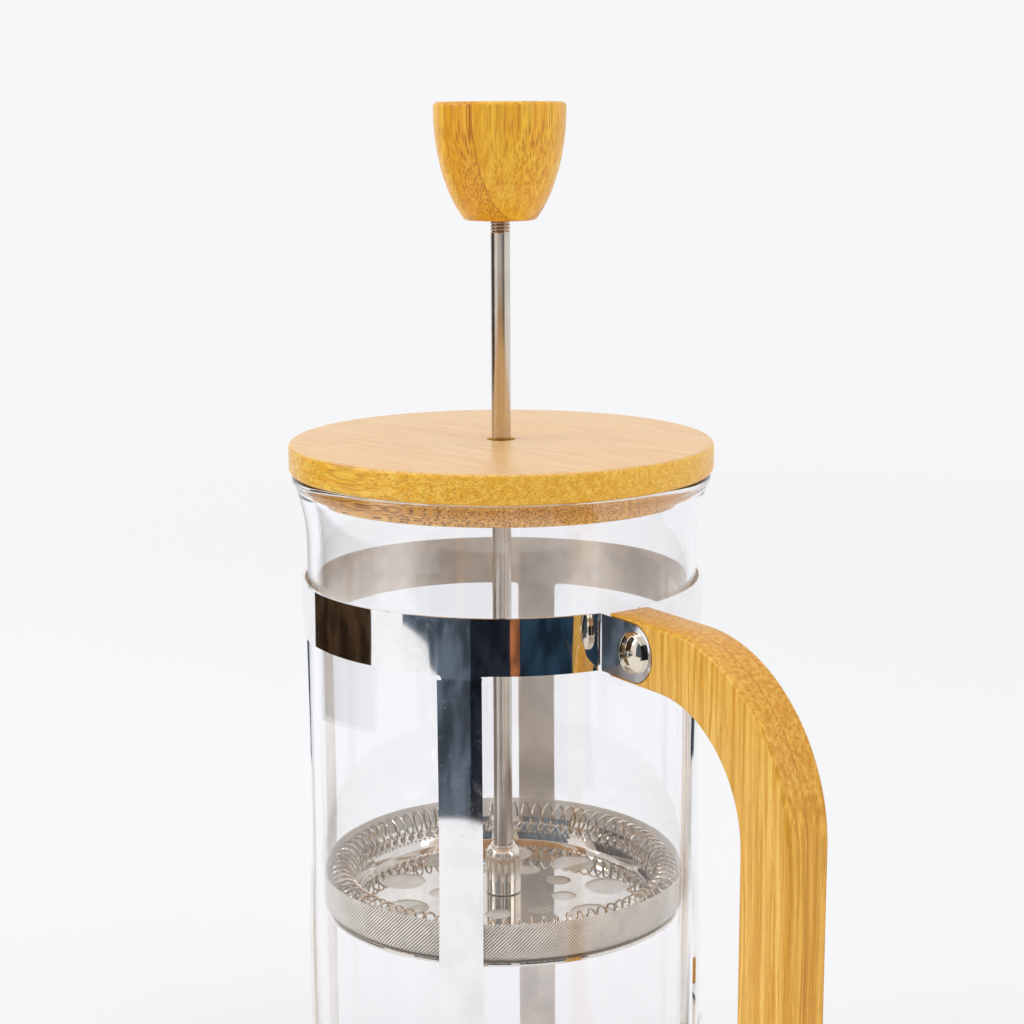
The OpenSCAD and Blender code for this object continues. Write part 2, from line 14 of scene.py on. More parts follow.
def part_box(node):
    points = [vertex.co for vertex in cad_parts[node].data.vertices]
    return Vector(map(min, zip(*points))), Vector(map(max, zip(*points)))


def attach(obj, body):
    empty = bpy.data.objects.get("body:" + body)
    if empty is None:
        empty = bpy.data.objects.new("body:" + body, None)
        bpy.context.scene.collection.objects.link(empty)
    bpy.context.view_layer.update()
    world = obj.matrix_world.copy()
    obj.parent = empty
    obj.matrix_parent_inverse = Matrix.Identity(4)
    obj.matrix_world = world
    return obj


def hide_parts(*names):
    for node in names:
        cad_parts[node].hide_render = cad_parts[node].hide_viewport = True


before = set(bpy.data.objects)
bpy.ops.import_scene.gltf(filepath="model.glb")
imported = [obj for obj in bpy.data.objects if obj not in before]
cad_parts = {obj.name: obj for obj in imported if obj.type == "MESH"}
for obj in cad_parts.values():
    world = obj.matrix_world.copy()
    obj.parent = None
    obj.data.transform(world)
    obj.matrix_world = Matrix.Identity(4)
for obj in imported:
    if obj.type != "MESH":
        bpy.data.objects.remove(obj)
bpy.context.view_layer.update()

MM = 0.001


# ---- Sizes, worked out from the frame ----


def span(node):
    """The lowest and highest corners of a CAD node."""
    low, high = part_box(node)
    return np.array(low) / MM, np.array(high) / MM


def radius(node):
    """Half the width of a round CAD node."""
    low, high = span(node)
    return (high[1] - low[1]) / 2


def foot(node):
    """The height of a CAD node's lowest point."""
    return span(node)[0][2]


def top(node):
    """The height of a CAD node's highest point."""
    return span(node)[1][2]


SHEET = 0.8
GLASS = 2.2
PLATE = 0.4
MESH = 0.3
GAP = 0.05
SHEET_EDGE = 0.14
PLATE_EDGE = 0.07
EAR_Y = 5.4
FOLD = 1.2
BAND_HALF = 6.75
BAND_MID_R = 49.6
BAND_Z = (foot("upper_handle_screw") + top("upper_handle_screw")) / 2
BRACKET_HALF = 5.0
BRACKET_MID_R = 51.35
BRACKET_END = 52.3
BRACKET_Z = (foot("left_bracket") + top("left_bracket")) / 2
SCREW_X = (span("upper_handle_screw")[0][0] + span("upper_handle_screw")[1][0]) / 2
STRAPS = (45, 135, 225, 315)
STRAP_W = 10.5
THREAD_PITCH = 0.8
COIL_TURNS = 84
COIL_R = 3.4
COIL_WIRE = 0.3
COIL_PASS = 40
RIM_LEAN = 2.2
RIM_H = 6.3
RIM_HOLE_UP = 0.57


# ---- Outlines and meshes ----


def unit(v):
    return v / np.linalg.norm(v)


def filleted(corners, closed=True, steps=8):
    """The points of an outline whose corners (x, y, radius) are rounded by arcs."""
    points = []
    count = len(corners)
    for i, (x, y, r) in enumerate(corners):
        here = np.array([x, y], float)
        if r <= 0 or (not closed and i in (0, count - 1)):
            points.append(here)
            continue
        before = unit(np.array(corners[i - 1][:2], float) - here)
        after = unit(np.array(corners[(i + 1) % count][:2], float) - here)
        half = math.acos(np.clip(before @ after, -1, 1)) / 2
        centre = here + unit(before + after) * r / math.sin(half)
        start = here + before * r / math.tan(half) - centre
        end = here + after * r / math.tan(half) - centre
        turn = math.atan2(start[0] * end[1] - start[1] * end[0], start @ end)
        for k in range(steps + 1):
            a = turn * k / steps
            spin = np.array([[math.cos(a), -math.sin(a)], [math.sin(a), math.cos(a)]])
            points.append(centre + spin @ start)
    return points


def dense(points, longest):
    """A polyline with no stretch longer than the given length."""
    filled = [points[0]]
    for a, b in zip(points, points[1:]):
        count = max(1, math.ceil(np.linalg.norm(np.subtract(b, a)) / longest))
        filled += [tuple(np.add(a, np.subtract(b, a) * k / count)) for k in range(1, count + 1)]
    return filled


def circle(r, count, centre=(0, 0), first=0.0):
    """Points round a circle, from an angle in degrees."""
    angles = np.radians(first + np.arange(count) * 360 / count)
    return np.stack([centre[0] + r * np.cos(angles), centre[1] + r * np.sin(angles)], 1)


def revolve(profile, segments, closed=True, shape=None):
    """The mesh of an outline (r, z) turned about the Z axis.

    shape(r, z, angles) may give each point of a ring a radius of its own.
    """
    angles = np.arange(segments) * 2 * math.pi / segments
    verts, rings, faces = [], [], []
    for r, z in profile:
        if r < 1e-6:
            rings.append([len(verts)] * segments)
            verts.append((0.0, 0.0, z))
            continue
        rings.append(list(range(len(verts), len(verts) + segments)))
        radii = np.full(segments, r) if shape is None else shape(r, z, angles)
        verts += [(q * math.cos(a), q * math.sin(a), z) for q, a in zip(radii, angles)]
    following = rings[1:] + rings[:1] if closed else rings[1:]
    for lower, upper in zip(rings, following):
        for k in range(segments):
            m = (k + 1) % segments
            face = list(dict.fromkeys([lower[k], lower[m], upper[m], upper[k]]))
            if len(face) > 2:
                faces.append(face)
    return verts, faces


def grid_faces(rows, columns, closed_columns=False):
    """Quads that join a grid of points stored row by row."""
    faces = []
    for j in range(rows - 1):
        for k in range(columns if closed_columns else columns - 1):
            m, n = j + 1, (k + 1) % columns
            faces.append([j * columns + k, j * columns + n, m * columns + n, m * columns + k])
    return faces


def joined(*parts):
    """One mesh from several."""
    verts, faces = [], []
    for part_verts, part_faces in parts:
        faces += [[i + len(verts) for i in face] for face in part_faces]
        verts += [tuple(v) for v in part_verts]
    return verts, faces


def placed(part, matrix):
    """A mesh moved by a 4 by 4 matrix."""
    verts, faces = part
    return [tuple(matrix @ Vector(v)) for v in verts], faces


def build(name, part, merge=False, outward=True, sharp=35):
    """A mesh object with smooth shading and sharp edges where it turns sharply."""
    verts, faces = part
    mesh = bpy.data.meshes.new(name)
    mesh.from_pydata([[c * MM for c in v] for v in verts], [], faces)
    work = bmesh.new()
    work.from_mesh(mesh)
    if merge:
        bmesh.ops.remove_doubles(work, verts=work.verts, dist=1e-7)
    if outward:
        bmesh.ops.recalc_face_normals(work, faces=work.faces)
    work.to_mesh(mesh)
    work.free()
    obj = bpy.data.objects.new(name, mesh)
    bpy.context.scene.collection.objects.link(obj)
    smooth(obj, sharp)
    return obj


def smooth(obj, sharp=35):
    """Smooth shading, with edges sharp past an angle in degrees."""
    obj.data.shade_smooth()
    obj.data.set_sharp_from_angle(angle=math.radians(sharp))


def settle(obj):
    """Replaces an object's mesh by what its modifiers make of it."""
    graph = bpy.context.evaluated_depsgraph_get()
    mesh = bpy.data.meshes.new_from_object(obj.evaluated_get(graph))
    obj.modifiers.clear()
    old = obj.data
    obj.data = mesh
    bpy.data.meshes.remove(old)
    smooth(obj)


def bevelled(obj, width):
    """Rounds an object's edges."""
    bevel = obj.modifiers.new("edge", "BEVEL")
    bevel.width = width * MM
    bevel.segments = 2
    bevel.limit_method = "ANGLE"
    bevel.angle_limit = math.radians(40)
    normals = obj.modifiers.new("flats", "WEIGHTED_NORMAL")
    normals.keep_sharp = True


def from_curve(name, loops, dimensions, **settings):
    """A mesh object from closed polylines that Blender fills or thickens."""
    curve = bpy.data.curves.new(name, "CURVE")
    curve.dimensions = dimensions
    for loop in loops:
        spline = curve.splines.new("POLY")
        spline.points.add(len(loop) - 1)
        for point, place in zip(spline.points, loop):
            point.co = [c * MM for c in [*place, 0, 0][:3]] + [1]
        spline.use_cyclic_u = True
    for key, value in settings.items():
        setattr(curve, key, value)
    holder = bpy.data.objects.new(name + "_line", curve)
    bpy.context.scene.collection.objects.link(holder)
    graph = bpy.context.evaluated_depsgraph_get()
    mesh = bpy.data.meshes.new_from_object(holder.evaluated_get(graph))
    bpy.data.objects.remove(holder)
    bpy.data.curves.remove(curve)
    obj = bpy.data.objects.new(name, mesh)
    bpy.context.scene.collection.objects.link(obj)
    smooth(obj)
    return obj


def flat_plate(name, loops, low, high, edge):
    """A flat plate with holes, from loops of points, with bevelled edges."""
    obj = from_curve(
        name, loops, "2D", fill_mode="BOTH", extrude=((high - low) / 2 - edge) * MM,
        bevel_depth=edge * MM, bevel_resolution=1, offset=-edge * MM,
    )
    obj.data.transform(Matrix.Translation((0, 0, (low + high) / 2 * MM)))
    return obj


def dress(obj, material, body, node):
    """Gives a piece its material and its body, and hides the CAD node it stands for."""
    obj.data.materials.clear()
    obj.data.materials.append(material)
    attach(obj, body)
    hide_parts(node)


# ---- Shading helpers ----


def add(tree, kind, settings=None, **sockets):
    """A shader node with its sockets set, or linked where the value is a socket."""
    node = tree.nodes.new("ShaderNode" + kind)
    for key, value in (settings or {}).items():
        setattr(node, key, value)
    for name, value in sockets.items():
        plug(tree, node.inputs[name.replace("_", " ")], value)
    return node


def plug(tree, socket, value):
    """Sets a socket, or links it where the value is a socket."""
    if isinstance(value, bpy.types.NodeSocket):
        tree.links.new(value, socket)
    else:
        socket.default_value = value


def calc(tree, operation, *values):
    """A sum, by the name of its operation."""
    node = tree.nodes.new("ShaderNodeMath")
    node.operation = operation
    for socket, value in zip(node.inputs, values):
        plug(tree, socket, value)
    return node.outputs[0]


def remap(tree, value, low, high, out_low=0.0, out_high=1.0):
    """A value carried smoothly from one range to another, and held at its ends."""
    node = add(tree, "MapRange", {"interpolation_type": "SMOOTHSTEP"}, Value=value)
    for name, number in zip(("From Min", "From Max", "To Min", "To Max"), (low, high, out_low, out_high)):
        plug(tree, node.inputs[name], number)
    return node.outputs[0]


def blended(tree, share, a, b, mode="MIX"):
    """Two colours mixed."""
    node = add(tree, "Mix", {"data_type": "RGBA", "blend_type": mode})
    for index, value in ((0, share), (6, a), (7, b)):
        plug(tree, node.inputs[index], value)
    return node.outputs[2]


def stretched(tree, vector, scale, turn=(0, 0, 0)):
    """Coordinates turned back by degrees, then scaled."""
    node = add(
        tree, "Mapping", {"vector_type": "TEXTURE"}, Vector=vector,
        Rotation=[math.radians(t) for t in turn], Scale=[1 / s for s in scale],
    )
    return node.outputs[0]


def noise(tree, vector, scale, detail=2.0, roughness=0.5):
    """Soft noise from 0 to 1."""
    node = add(tree, "TexNoise", None, Vector=vector, Scale=scale, Detail=detail, Roughness=roughness)
    return node.outputs["Fac"]


def cells(tree, vector, scale, dimensions="3D"):
    """Round cells, with the distance from each cell's middle."""
    return add(tree, "TexVoronoi", {"voronoi_dimensions": dimensions}, Vector=vector, Scale=scale)


def group(name, inputs, outputs):
    """A new shader node group with named sockets, its input node and its output node."""
    tree = bpy.data.node_groups.new(name, "ShaderNodeTree")
    for socket_name, kind in inputs:
        tree.interface.new_socket(socket_name, in_out="INPUT", socket_type="NodeSocket" + kind)
    for socket_name, kind in outputs:
        tree.interface.new_socket(socket_name, in_out="OUTPUT", socket_type="NodeSocket" + kind)
    return tree, tree.nodes.new("NodeGroupInput").outputs, tree.nodes.new("NodeGroupOutput").inputs


def use(tree, made, **sockets):
    """Puts a shader node group into a tree and gives its outputs."""
    node = tree.nodes.new("ShaderNodeGroup")
    node.node_tree = made
    for name, value in sockets.items():
        plug(tree, node.inputs[name.replace("_", " ")], value)
    return node.outputs


def new_material(name):
    """A material with its tree, its Principled shader and the object's coordinates in millimetres."""
    material = bpy.data.materials.new(name)
    material.use_nodes = True
    tree = material.node_tree
    shader = tree.nodes["Principled BSDF"]
    place = stretched(tree, add(tree, "TexCoord").outputs["Object"], (1 / MM,) * 3)
    return material, tree, shader, place


def colour(red, green, blue):
    """A colour given as it looks on a screen, from 0 to 255."""
    parts = [c / 255 for c in (red, green, blue)]
    return [c / 12.92 if c <= 0.04045 else ((c + 0.055) / 1.055) ** 2.4 for c in parts] + [1.0]


def bump(tree, shader, height, depth):
    """Relief of a depth in millimetres."""
    node = add(tree, "Bump", None, Height=height, Distance=depth * MM, Strength=1.0)
    tree.links.new(node.outputs[0], shader.inputs["Normal"])


# ---- Effects that several materials share ----


def swayed(tree, value, vector, slow):
    """A value with a slow wander of up to 1.5 either way."""
    wander = calc(tree, "SUBTRACT", noise(tree, stretched(tree, vector, slow), 1.0), 0.5)
    return calc(tree, "MULTIPLY_ADD", wander, 3.0, value)


def bamboo_group():
    """Laminated bamboo, with its fibres along Z and its plies stacked along X."""
    tree, given, out = group(
        "bamboo",
        [("Vector", "Vector"), ("Ply", "Float"), ("Ply Shift", "Float"), ("Fibre Pitch", "Float"),
         ("Speckle", "Float"), ("Streak", "Float"), ("Light", "Color"), ("Dark", "Color"),
         ("Fleck", "Color")],
        [("Color", "Color"), ("Roughness", "Float"), ("Height", "Float")],
    )
    at = add(tree, "SeparateXYZ", None, Vector=given["Vector"]).outputs
    # The plies
    layer = calc(tree, "DIVIDE", calc(tree, "ADD", at["X"], given["Ply Shift"]), given["Ply"])
    ply_number = calc(tree, "FLOOR", layer)
    across = calc(tree, "SUBTRACT", layer, ply_number)
    ply_wave = calc(tree, "SINE", calc(tree, "MULTIPLY_ADD", ply_number, 2.0, -0.4))
    ply_tone = calc(tree, "MULTIPLY_ADD", ply_wave, 0.5, 0.5)
    from_middle = calc(tree, "ABSOLUTE", calc(tree, "SUBTRACT", across, 0.5))
    edge = calc(tree, "MULTIPLY", calc(tree, "SUBTRACT", 0.5, from_middle), given["Ply"])
    seam = remap(tree, edge, 0.05, 0.28, 1.0, 0.0)
    # The fibres wander a little along their length
    offset = calc(tree, "MULTIPLY", ply_tone, 17.0)
    fibre_x, fibre_y = [
        calc(tree, "ADD", swayed(tree, at[axis], given["Vector"], slow), offset)
        for axis, slow in (("X", (0.05, 0.05, 0.022)), ("Y", (0.04, 0.06, 0.018)))
    ]
    end_grain = add(tree, "CombineXYZ", None, X=fibre_x, Y=fibre_y)
    bundles = cells(tree, end_grain.outputs[0], calc(tree, "DIVIDE", 1.0, given["Fibre Pitch"]), "2D")
    core = remap(tree, bundles.outputs["Distance"], 0.18, 0.42, 1.0, 0.0)
    along = add(tree, "CombineXYZ", None, X=fibre_x, Y=fibre_y, Z=at["Z"]).outputs[0]
    broken = remap(tree, noise(tree, stretched(tree, along, (1.2, 1.2, 0.12)), 1.0, 1.0), 0.34, 0.5)
    packing = calc(tree, "MULTIPLY_ADD", across, 0.6, calc(tree, "MULTIPLY_ADD", ply_tone, 0.5, 0.1))
    strength = calc(tree, "MULTIPLY", packing, given["Speckle"])
    fleck = calc(tree, "MULTIPLY", calc(tree, "MULTIPLY", core, broken), strength)
    # Long streaks, wide and fine
    wide = noise(tree, stretched(tree, along, (0.8, 0.8, 0.006)), 1.0, 3.0, 0.6)
    fine = noise(tree, stretched(tree, along, (2.4, 2.4, 0.03)), 1.0, 2.0)
    streak = calc(tree, "ADD", calc(tree, "MULTIPLY", wide, 0.65), calc(tree, "MULTIPLY", fine, 0.35))
    streak_share = calc(tree, "MULTIPLY", remap(tree, streak, 0.38, 0.62), given["Streak"])
    ply_share = calc(tree, "MULTIPLY", ply_tone, 0.6)
    share = calc(tree, "MINIMUM", calc(tree, "ADD", streak_share, ply_share), 1.0)
    wood = blended(tree, share, given["Light"], given["Dark"])
    flecked = blended(tree, calc(tree, "MINIMUM", fleck, 1.0), wood, given["Fleck"])
    pitted = noise(tree, stretched(tree, along, (3.5, 3.5, 0.35)), 1.0, 2.0)
    pores = remap(tree, pitted, 0.3, 0.7, 0.93, 1.06)
    seamed = blended(tree, calc(tree, "MULTIPLY", seam, 0.55), flecked, given["Fleck"])
    tree.links.new(blended(tree, 1.0, seamed, pores, "MULTIPLY"), out["Color"])
    satin = remap(tree, fine, 0.3, 0.7, 0.25, 0.36)
    tree.links.new(calc(tree, "MULTIPLY_ADD", fleck, 0.12, satin), out["Roughness"])
    relief = calc(tree, "SUBTRACT", calc(tree, "MULTIPLY", fine, 0.5), calc(tree, "MULTIPLY", fleck, 0.5))
    tree.links.new(calc(tree, "SUBTRACT", relief, calc(tree, "MULTIPLY", seam, 0.4)), out["Height"])
    return tree


def wear_group():
    """Fine scratches and specks on metal."""
    tree, given, out = group(
        "handling_wear",
        [("Vector", "Vector"), ("Scratches", "Float"), ("Waviness", "Float")],
        [("Mark", "Float"), ("Height", "Float")],
    )
    marks = []
    for turn, stretch in (((20, 35, 15), (0.25, 2.6, 2.6)), ((70, 10, 50), (2.2, 0.2, 2.4))):
        lines = noise(tree, stretched(tree, given["Vector"], stretch, turn), 1.0, 0.0)
        away = calc(tree, "ABSOLUTE", calc(tree, "SUBTRACT", lines, 0.5))
        marks.append(remap(tree, away, 0.001, 0.004, 0.6, 0.0))
    patches = remap(tree, noise(tree, given["Vector"], 0.35, 2.0), 0.55, 0.7)
    scratch = calc(tree, "MULTIPLY", calc(tree, "MAXIMUM", *marks), patches)
    specks = cells(tree, given["Vector"], 1.1)
    dust = remap(tree, specks.outputs["Distance"], 0.06, 0.13, 1.0, 0.0)
    mark = calc(tree, "MULTIPLY", calc(tree, "MAXIMUM", scratch, dust), given["Scratches"])
    tree.links.new(mark, out["Mark"])
    slow = calc(tree, "MULTIPLY", noise(tree, given["Vector"], 0.06, 1.0), given["Waviness"])
    tree.links.new(calc(tree, "SUBTRACT", slow, calc(tree, "MULTIPLY", mark, 0.02)), out["Height"])
    return tree


# ---- Materials ----


def bamboo(name, made, turn=(0, 0, 0), painted_top_sheen=None, cut=None, **values):
    """Bamboo whose fibres run along Z after the turn.

    painted_top_sheen is the height, colour and share of a paler top, a painted sheen where the top faces
    the bright surround, and cut is the tint of the faces that cross the plies of a piece that stands in the
    X-Z plane, a painted shade on the sides away from the key light.
    """
    material, tree, shader, place = new_material(name)
    grain = use(tree, made, Vector=stretched(tree, place, (1, 1, 1), turn), **values)
    shown = grain["Color"]
    if painted_top_sheen is not None:
        # A paler colour blended onto the top face: a painted sheen of the bright surround on the lid's top.
        height, pale, share = painted_top_sheen
        up = add(tree, "SeparateXYZ", None, Vector=place).outputs["Z"]
        top_sheen_share = calc(tree, "MULTIPLY", remap(tree, up, height - 0.5, height - 0.1), share)
        shown = blended(tree, top_sheen_share, shown, pale)
    if cut is not None:
        # The cut tint is multiplied in on faces that do not face along Y: a painted shade on the handle's
        # sides away from the key light.
        normal = add(tree, "TexCoord").outputs["Normal"]
        facing = add(tree, "SeparateXYZ", None, Vector=normal).outputs["Y"]
        painted_side_shade = remap(tree, calc(tree, "ABSOLUTE", facing), 0.5, 0.8, 1.0, 0.0)
        shown = blended(tree, painted_side_shade, shown, blended(tree, 1.0, shown, cut, "MULTIPLY"))
    plug(tree, shader.inputs["Base Color"], shown)
    plug(tree, shader.inputs["Roughness"], grain["Roughness"])
    shader.inputs["Specular IOR Level"].default_value = 0.45
    bump(tree, shader, grain["Height"], 0.05)
    return material


def metal(name, wear, tint, roughness, scratches, waviness=0.0, brushed=None, metallic=1.0, clean=0.9):
    """Steel with handling marks.

    brushed is (scale, roughness added) for a brushed finish, and clean is how light its stains are.
    """
    material, tree, shader, place = new_material(name)
    marks = use(tree, wear, Vector=place, Scratches=scratches, Waviness=waviness)
    stain = remap(tree, noise(tree, place, 0.11, 3.0), 0.35, 0.75, 1.0, clean)
    plug(tree, shader.inputs["Base Color"], blended(tree, 1.0, tint, stain, "MULTIPLY"))
    rough = calc(tree, "MULTIPLY_ADD", marks["Mark"], 0.35, roughness)
    height = marks["Height"]
    if brushed is not None:
        scale, added = brushed
        lines = noise(tree, stretched(tree, place, scale), 1.0, 3.0, 0.6)
        rough = calc(tree, "MULTIPLY_ADD", lines, added, rough)
        height = calc(tree, "MULTIPLY_ADD", lines, 0.004, height)
    plug(tree, shader.inputs["Roughness"], rough)
    shader.inputs["Metallic"].default_value = metallic
    bump(tree, shader, height, 0.4)
    return material


def woven(name, pitch, tint, painted_gap_shade):
    """Fine woven wire, laid out by the piece's own map in millimetres."""
    material, tree, shader, place = new_material(name)
    sheet = add(tree, "UVMap").outputs[0]
    slanted = stretched(tree, sheet, (1 / pitch,) * 3, (0, 0, 45))
    at = add(tree, "SeparateXYZ", None, Vector=slanted).outputs
    weft, warp = [
        calc(tree, "ABSOLUTE", calc(tree, "SINE", calc(tree, "MULTIPLY", at[axis], math.pi)))
        for axis in "XY"
    ]
    cover = calc(tree, "MAXIMUM", warp, calc(tree, "MULTIPLY", weft, 0.85))
    wire = remap(tree, calc(tree, "MULTIPLY_ADD", weft, 0.3, calc(tree, "MULTIPLY", warp, 0.7)), 0.42, 0.72)
    cloud = noise(tree, place, 0.25, 3.0)
    # The wire crowns take the wire tint, and the valleys between the wires take the dark gap colour, a
    # painted shade between the wires.
    shade = calc(tree, "MULTIPLY", wire, remap(tree, cloud, 0.3, 0.7, 0.8, 1.0))
    plug(tree, shader.inputs["Base Color"], blended(tree, shade, painted_gap_shade, tint))
    plug(tree, shader.inputs["Roughness"], remap(tree, wire, 0.0, 1.0, 0.5, 0.3))
    plug(tree, shader.inputs["Alpha"], remap(tree, cover, 0.62, 0.88, 0.0, 1.0))
    shader.inputs["Metallic"].default_value = 0.35
    bump(tree, shader, wire, 0.08)
    return material


def clear_glass(name, tint):
    """Glass that lets lamps through to what is behind it."""
    material, tree, shader, place = new_material(name)
    shader.inputs["Base Color"].default_value = tint
    shader.inputs["Transmission Weight"].default_value = 1.0
    shader.inputs["IOR"].default_value = 1.47
    smears = remap(tree, noise(tree, place, 0.06, 4.0, 0.6), 0.45, 0.75, 0.0, 0.04)
    plug(tree, shader.inputs["Roughness"], smears)
    ripple = noise(tree, stretched(tree, place, (0.03, 0.03, 0.012)), 1.0, 1.0)
    bump(tree, shader, ripple, 0.25)
    path = add(tree, "LightPath").outputs
    passing = add(tree, "BsdfTransparent", None, Color=tint)
    lighting = calc(tree, "MAXIMUM", path["Is Shadow Ray"], path["Is Diffuse Ray"])
    mix = add(tree, "MixShader", None, Fac=lighting)
    tree.links.new(shader.outputs[0], mix.inputs[1])
    tree.links.new(passing.outputs[0], mix.inputs[2])
    tree.links.new(mix.outputs[0], tree.nodes["Material Output"].inputs["Surface"])
    return material


bamboo_grain = bamboo_group()
steel_wear = wear_group()
knob_bamboo = bamboo(
    "knob_bamboo", bamboo_grain,
    Ply=7.8, Ply_Shift=7.1, Fibre_Pitch=0.5, Speckle=0.9, Streak=0.8,
    Light=colour(253, 203, 66), Dark=colour(232, 162, 30), Fleck=colour(182, 112, 18),
)
# The cut tint here is a painted shade on the handle's faces that cross the plies.
handle_bamboo = bamboo(
    "handle_bamboo", bamboo_grain, turn=(0, 0, 90), cut=colour(248, 238, 200),
    Ply=5.9, Ply_Shift=0.35, Fibre_Pitch=0.5, Speckle=0.5, Streak=0.95,
    Light=colour(251, 202, 98), Dark=colour(218, 154, 36), Fleck=colour(176, 114, 24),
)
lid_bamboo = bamboo(
    "lid_bamboo", bamboo_grain, turn=(0, 90, 11.5), painted_top_sheen=(top("lid_disc"), colour(232, 194, 156), 0.58),
    Ply=60.0, Ply_Shift=30.0, Fibre_Pitch=0.44, Speckle=1.1, Streak=0.85,
    Light=colour(255, 212, 92), Dark=colour(238, 175, 48), Fleck=colour(184, 122, 32),
)
plug_bamboo = bamboo(
    "plug_bamboo", bamboo_grain, turn=(0, 90, 11.5),
    Ply=60.0, Ply_Shift=30.0, Fibre_Pitch=0.52, Speckle=1.5, Streak=0.8,
    Light=colour(252, 202, 116), Dark=colour(224, 160, 68), Fleck=colour(128, 86, 50),
)
polished_steel = metal("polished_steel", steel_wear, colour(247, 246, 245), 0.045, 0.35, waviness=0.25)
inner_steel = metal(
    "brushed_inner_steel", steel_wear, colour(255, 246, 232), 0.22, 0.3,
    brushed=((0.6, 0.6, 0.05), 0.2), metallic=0.65, clean=0.8,
)
rod_steel = metal(
    "rod_steel", steel_wear, colour(214, 205, 194), 0.18, 0.4, brushed=((3.0, 3.0, 0.08), 0.12)
)
plate_steel = metal("plate_steel", steel_wear, colour(230, 225, 217), 0.04, 0.25, waviness=0.1)
hub_steel = metal("hub_steel", steel_wear, colour(248, 240, 226), 0.08, 0.2, metallic=0.75)
wire_steel = metal("wire_steel", steel_wear, colour(226, 214, 198), 0.12, 0.1)
screw_steel = metal("screw_steel", steel_wear, colour(232, 222, 204), 0.07, 0.2)
# The dark second colour is a painted shade between the woven wires.
woven_steel = woven("woven_steel", 0.62, colour(252, 243, 230), colour(82, 72, 60))
insert_brass = metal(
    "insert_brass", steel_wear, colour(196, 160, 96), 0.2, 0.3, brushed=((2.0, 2.0, 0.2), 0.1)
)
beaker_glass = clear_glass("beaker_glass", colour(254, 254, 255))


# ---- Beaker ----

BEAD_R = 1.3
LIP_REACH = 5.0
LIP_DEPTH = 16.0
LIP_BLEND = 1.2
LIP_SPARE = 0.34
FLARE_R = 46.0
FLARE_ANGLE = math.radians(21)
WALL_R = 48.5
LIP_R = 12.0
BASE_CURVE_R = 7.0
BASE_T = 3.0
FLARE_STEPS = 16
RIM_Z = top("glass_beaker")
BEAD_X = WALL_R + FLARE_R - (FLARE_R + GLASS / 2) * math.cos(FLARE_ANGLE)
BEAD_Z = RIM_Z - BEAD_R
FLARE_Z = BEAD_Z - (FLARE_R + GLASS / 2) * math.sin(FLARE_ANGLE)
RIM_R = BEAD_X + BEAD_R
LIP_X = RIM_R + LIP_REACH - LIP_R
LIP_ROOT_R = WALL_R - LIP_X


def wall_radius(z):
    """Outer radius of the round beaker at a height near its rim."""
    if z <= FLARE_Z:
        return WALL_R
    return WALL_R + FLARE_R - math.sqrt(FLARE_R ** 2 - min(z - FLARE_Z, FLARE_R * 0.9) ** 2)


def lip_push(r, z, angles):
    """Radii with the pouring lip drawn out on the -X side."""
    rise = np.clip((z - (RIM_Z - LIP_DEPTH)) / LIP_DEPTH, 0, 1)
    cone = LIP_ROOT_R + (LIP_R - LIP_ROOT_R) * rise
    side = LIP_X * np.sin(angles - math.pi)
    facing = np.cos(angles - math.pi) > 0
    inside = np.maximum(cone ** 2 - side ** 2, 0)
    reach = LIP_X * np.cos(angles - math.pi) + np.sqrt(inside)
    drawn_out = facing & (inside > 0) & (rise > 0)
    past = np.where(drawn_out, np.maximum(reach - wall_radius(min(z, BEAD_Z)), 0), 0)
    rise_at_bead = 1 - BEAD_R / LIP_DEPTH
    full = LIP_X + LIP_ROOT_R + (LIP_R - LIP_ROOT_R) * rise_at_bead - wall_radius(BEAD_Z)
    softened = np.sqrt(past ** 2 + LIP_BLEND ** 2) - LIP_BLEND
    return r + softened * (LIP_REACH - LIP_SPARE) / (math.sqrt(full ** 2 + LIP_BLEND ** 2) - LIP_BLEND)


def beaker():
    """The glass: outside wall, rolled bead and inside wall as one outline."""
    base = foot("glass_beaker")
    heights = np.linspace(0, BEAD_Z - FLARE_Z, FLARE_STEPS)
    outside = [(0, base, 0), (WALL_R, base, BASE_CURVE_R), (WALL_R, FLARE_Z, 0)]
    outer = filleted(outside, closed=False, steps=12)
    outer += [(wall_radius(FLARE_Z + h), FLARE_Z + h) for h in heights[1:-1]]
    bead = [
        (BEAD_X + BEAD_R * math.cos(a), BEAD_Z + BEAD_R * math.sin(a))
        for a in np.radians(np.linspace(-20, 210, 17))
    ]
    inner_r = WALL_R - GLASS
    flare_in = FLARE_R + GLASS
    inner = [
        (WALL_R + FLARE_R - math.sqrt(flare_in ** 2 - h ** 2), FLARE_Z + h)
        for h in heights[-3:0:-1]
    ]
    floor_z = base + BASE_T
    inside = [(inner_r, FLARE_Z, 0), (inner_r, floor_z, BASE_CURVE_R - GLASS), (0, floor_z, 0)]
    inner += filleted(inside, closed=False, steps=10)
    part = revolve(outer + bead + inner, 288, closed=False, shape=lip_push)
    obj = build("beaker_glass", part, sharp=60)
    dress(obj, beaker_glass, "beaker", "glass_beaker")


# ---- Cage ----

STRAP_FILLET = 1.3
STRAP_COLUMNS = np.linspace(-1, 1, 9)
STRAP_HALF = STRAP_W / 2
STRAP_ROW = 4.0
PINCH_IN = 0.35
PINCH_HALF = 12.0
BOW_OUT = 0.9
BOW_UP = 26.0
FOOT_R = 4.0
FOOT_IN = 11.0
LEDGE_IN = 2.0
LEDGE_LONG = 6.0
LEDGE_R = 0.9
LEDGE_GAP = 0.2
RIVET_R = 1.9
RIVET_SHANK_R = 1.1
RIVET_IN = 2.35
RIVET_FLAT = 0.6
RIVET_SIDE = 0.05
RIVET_DOME = 0.75


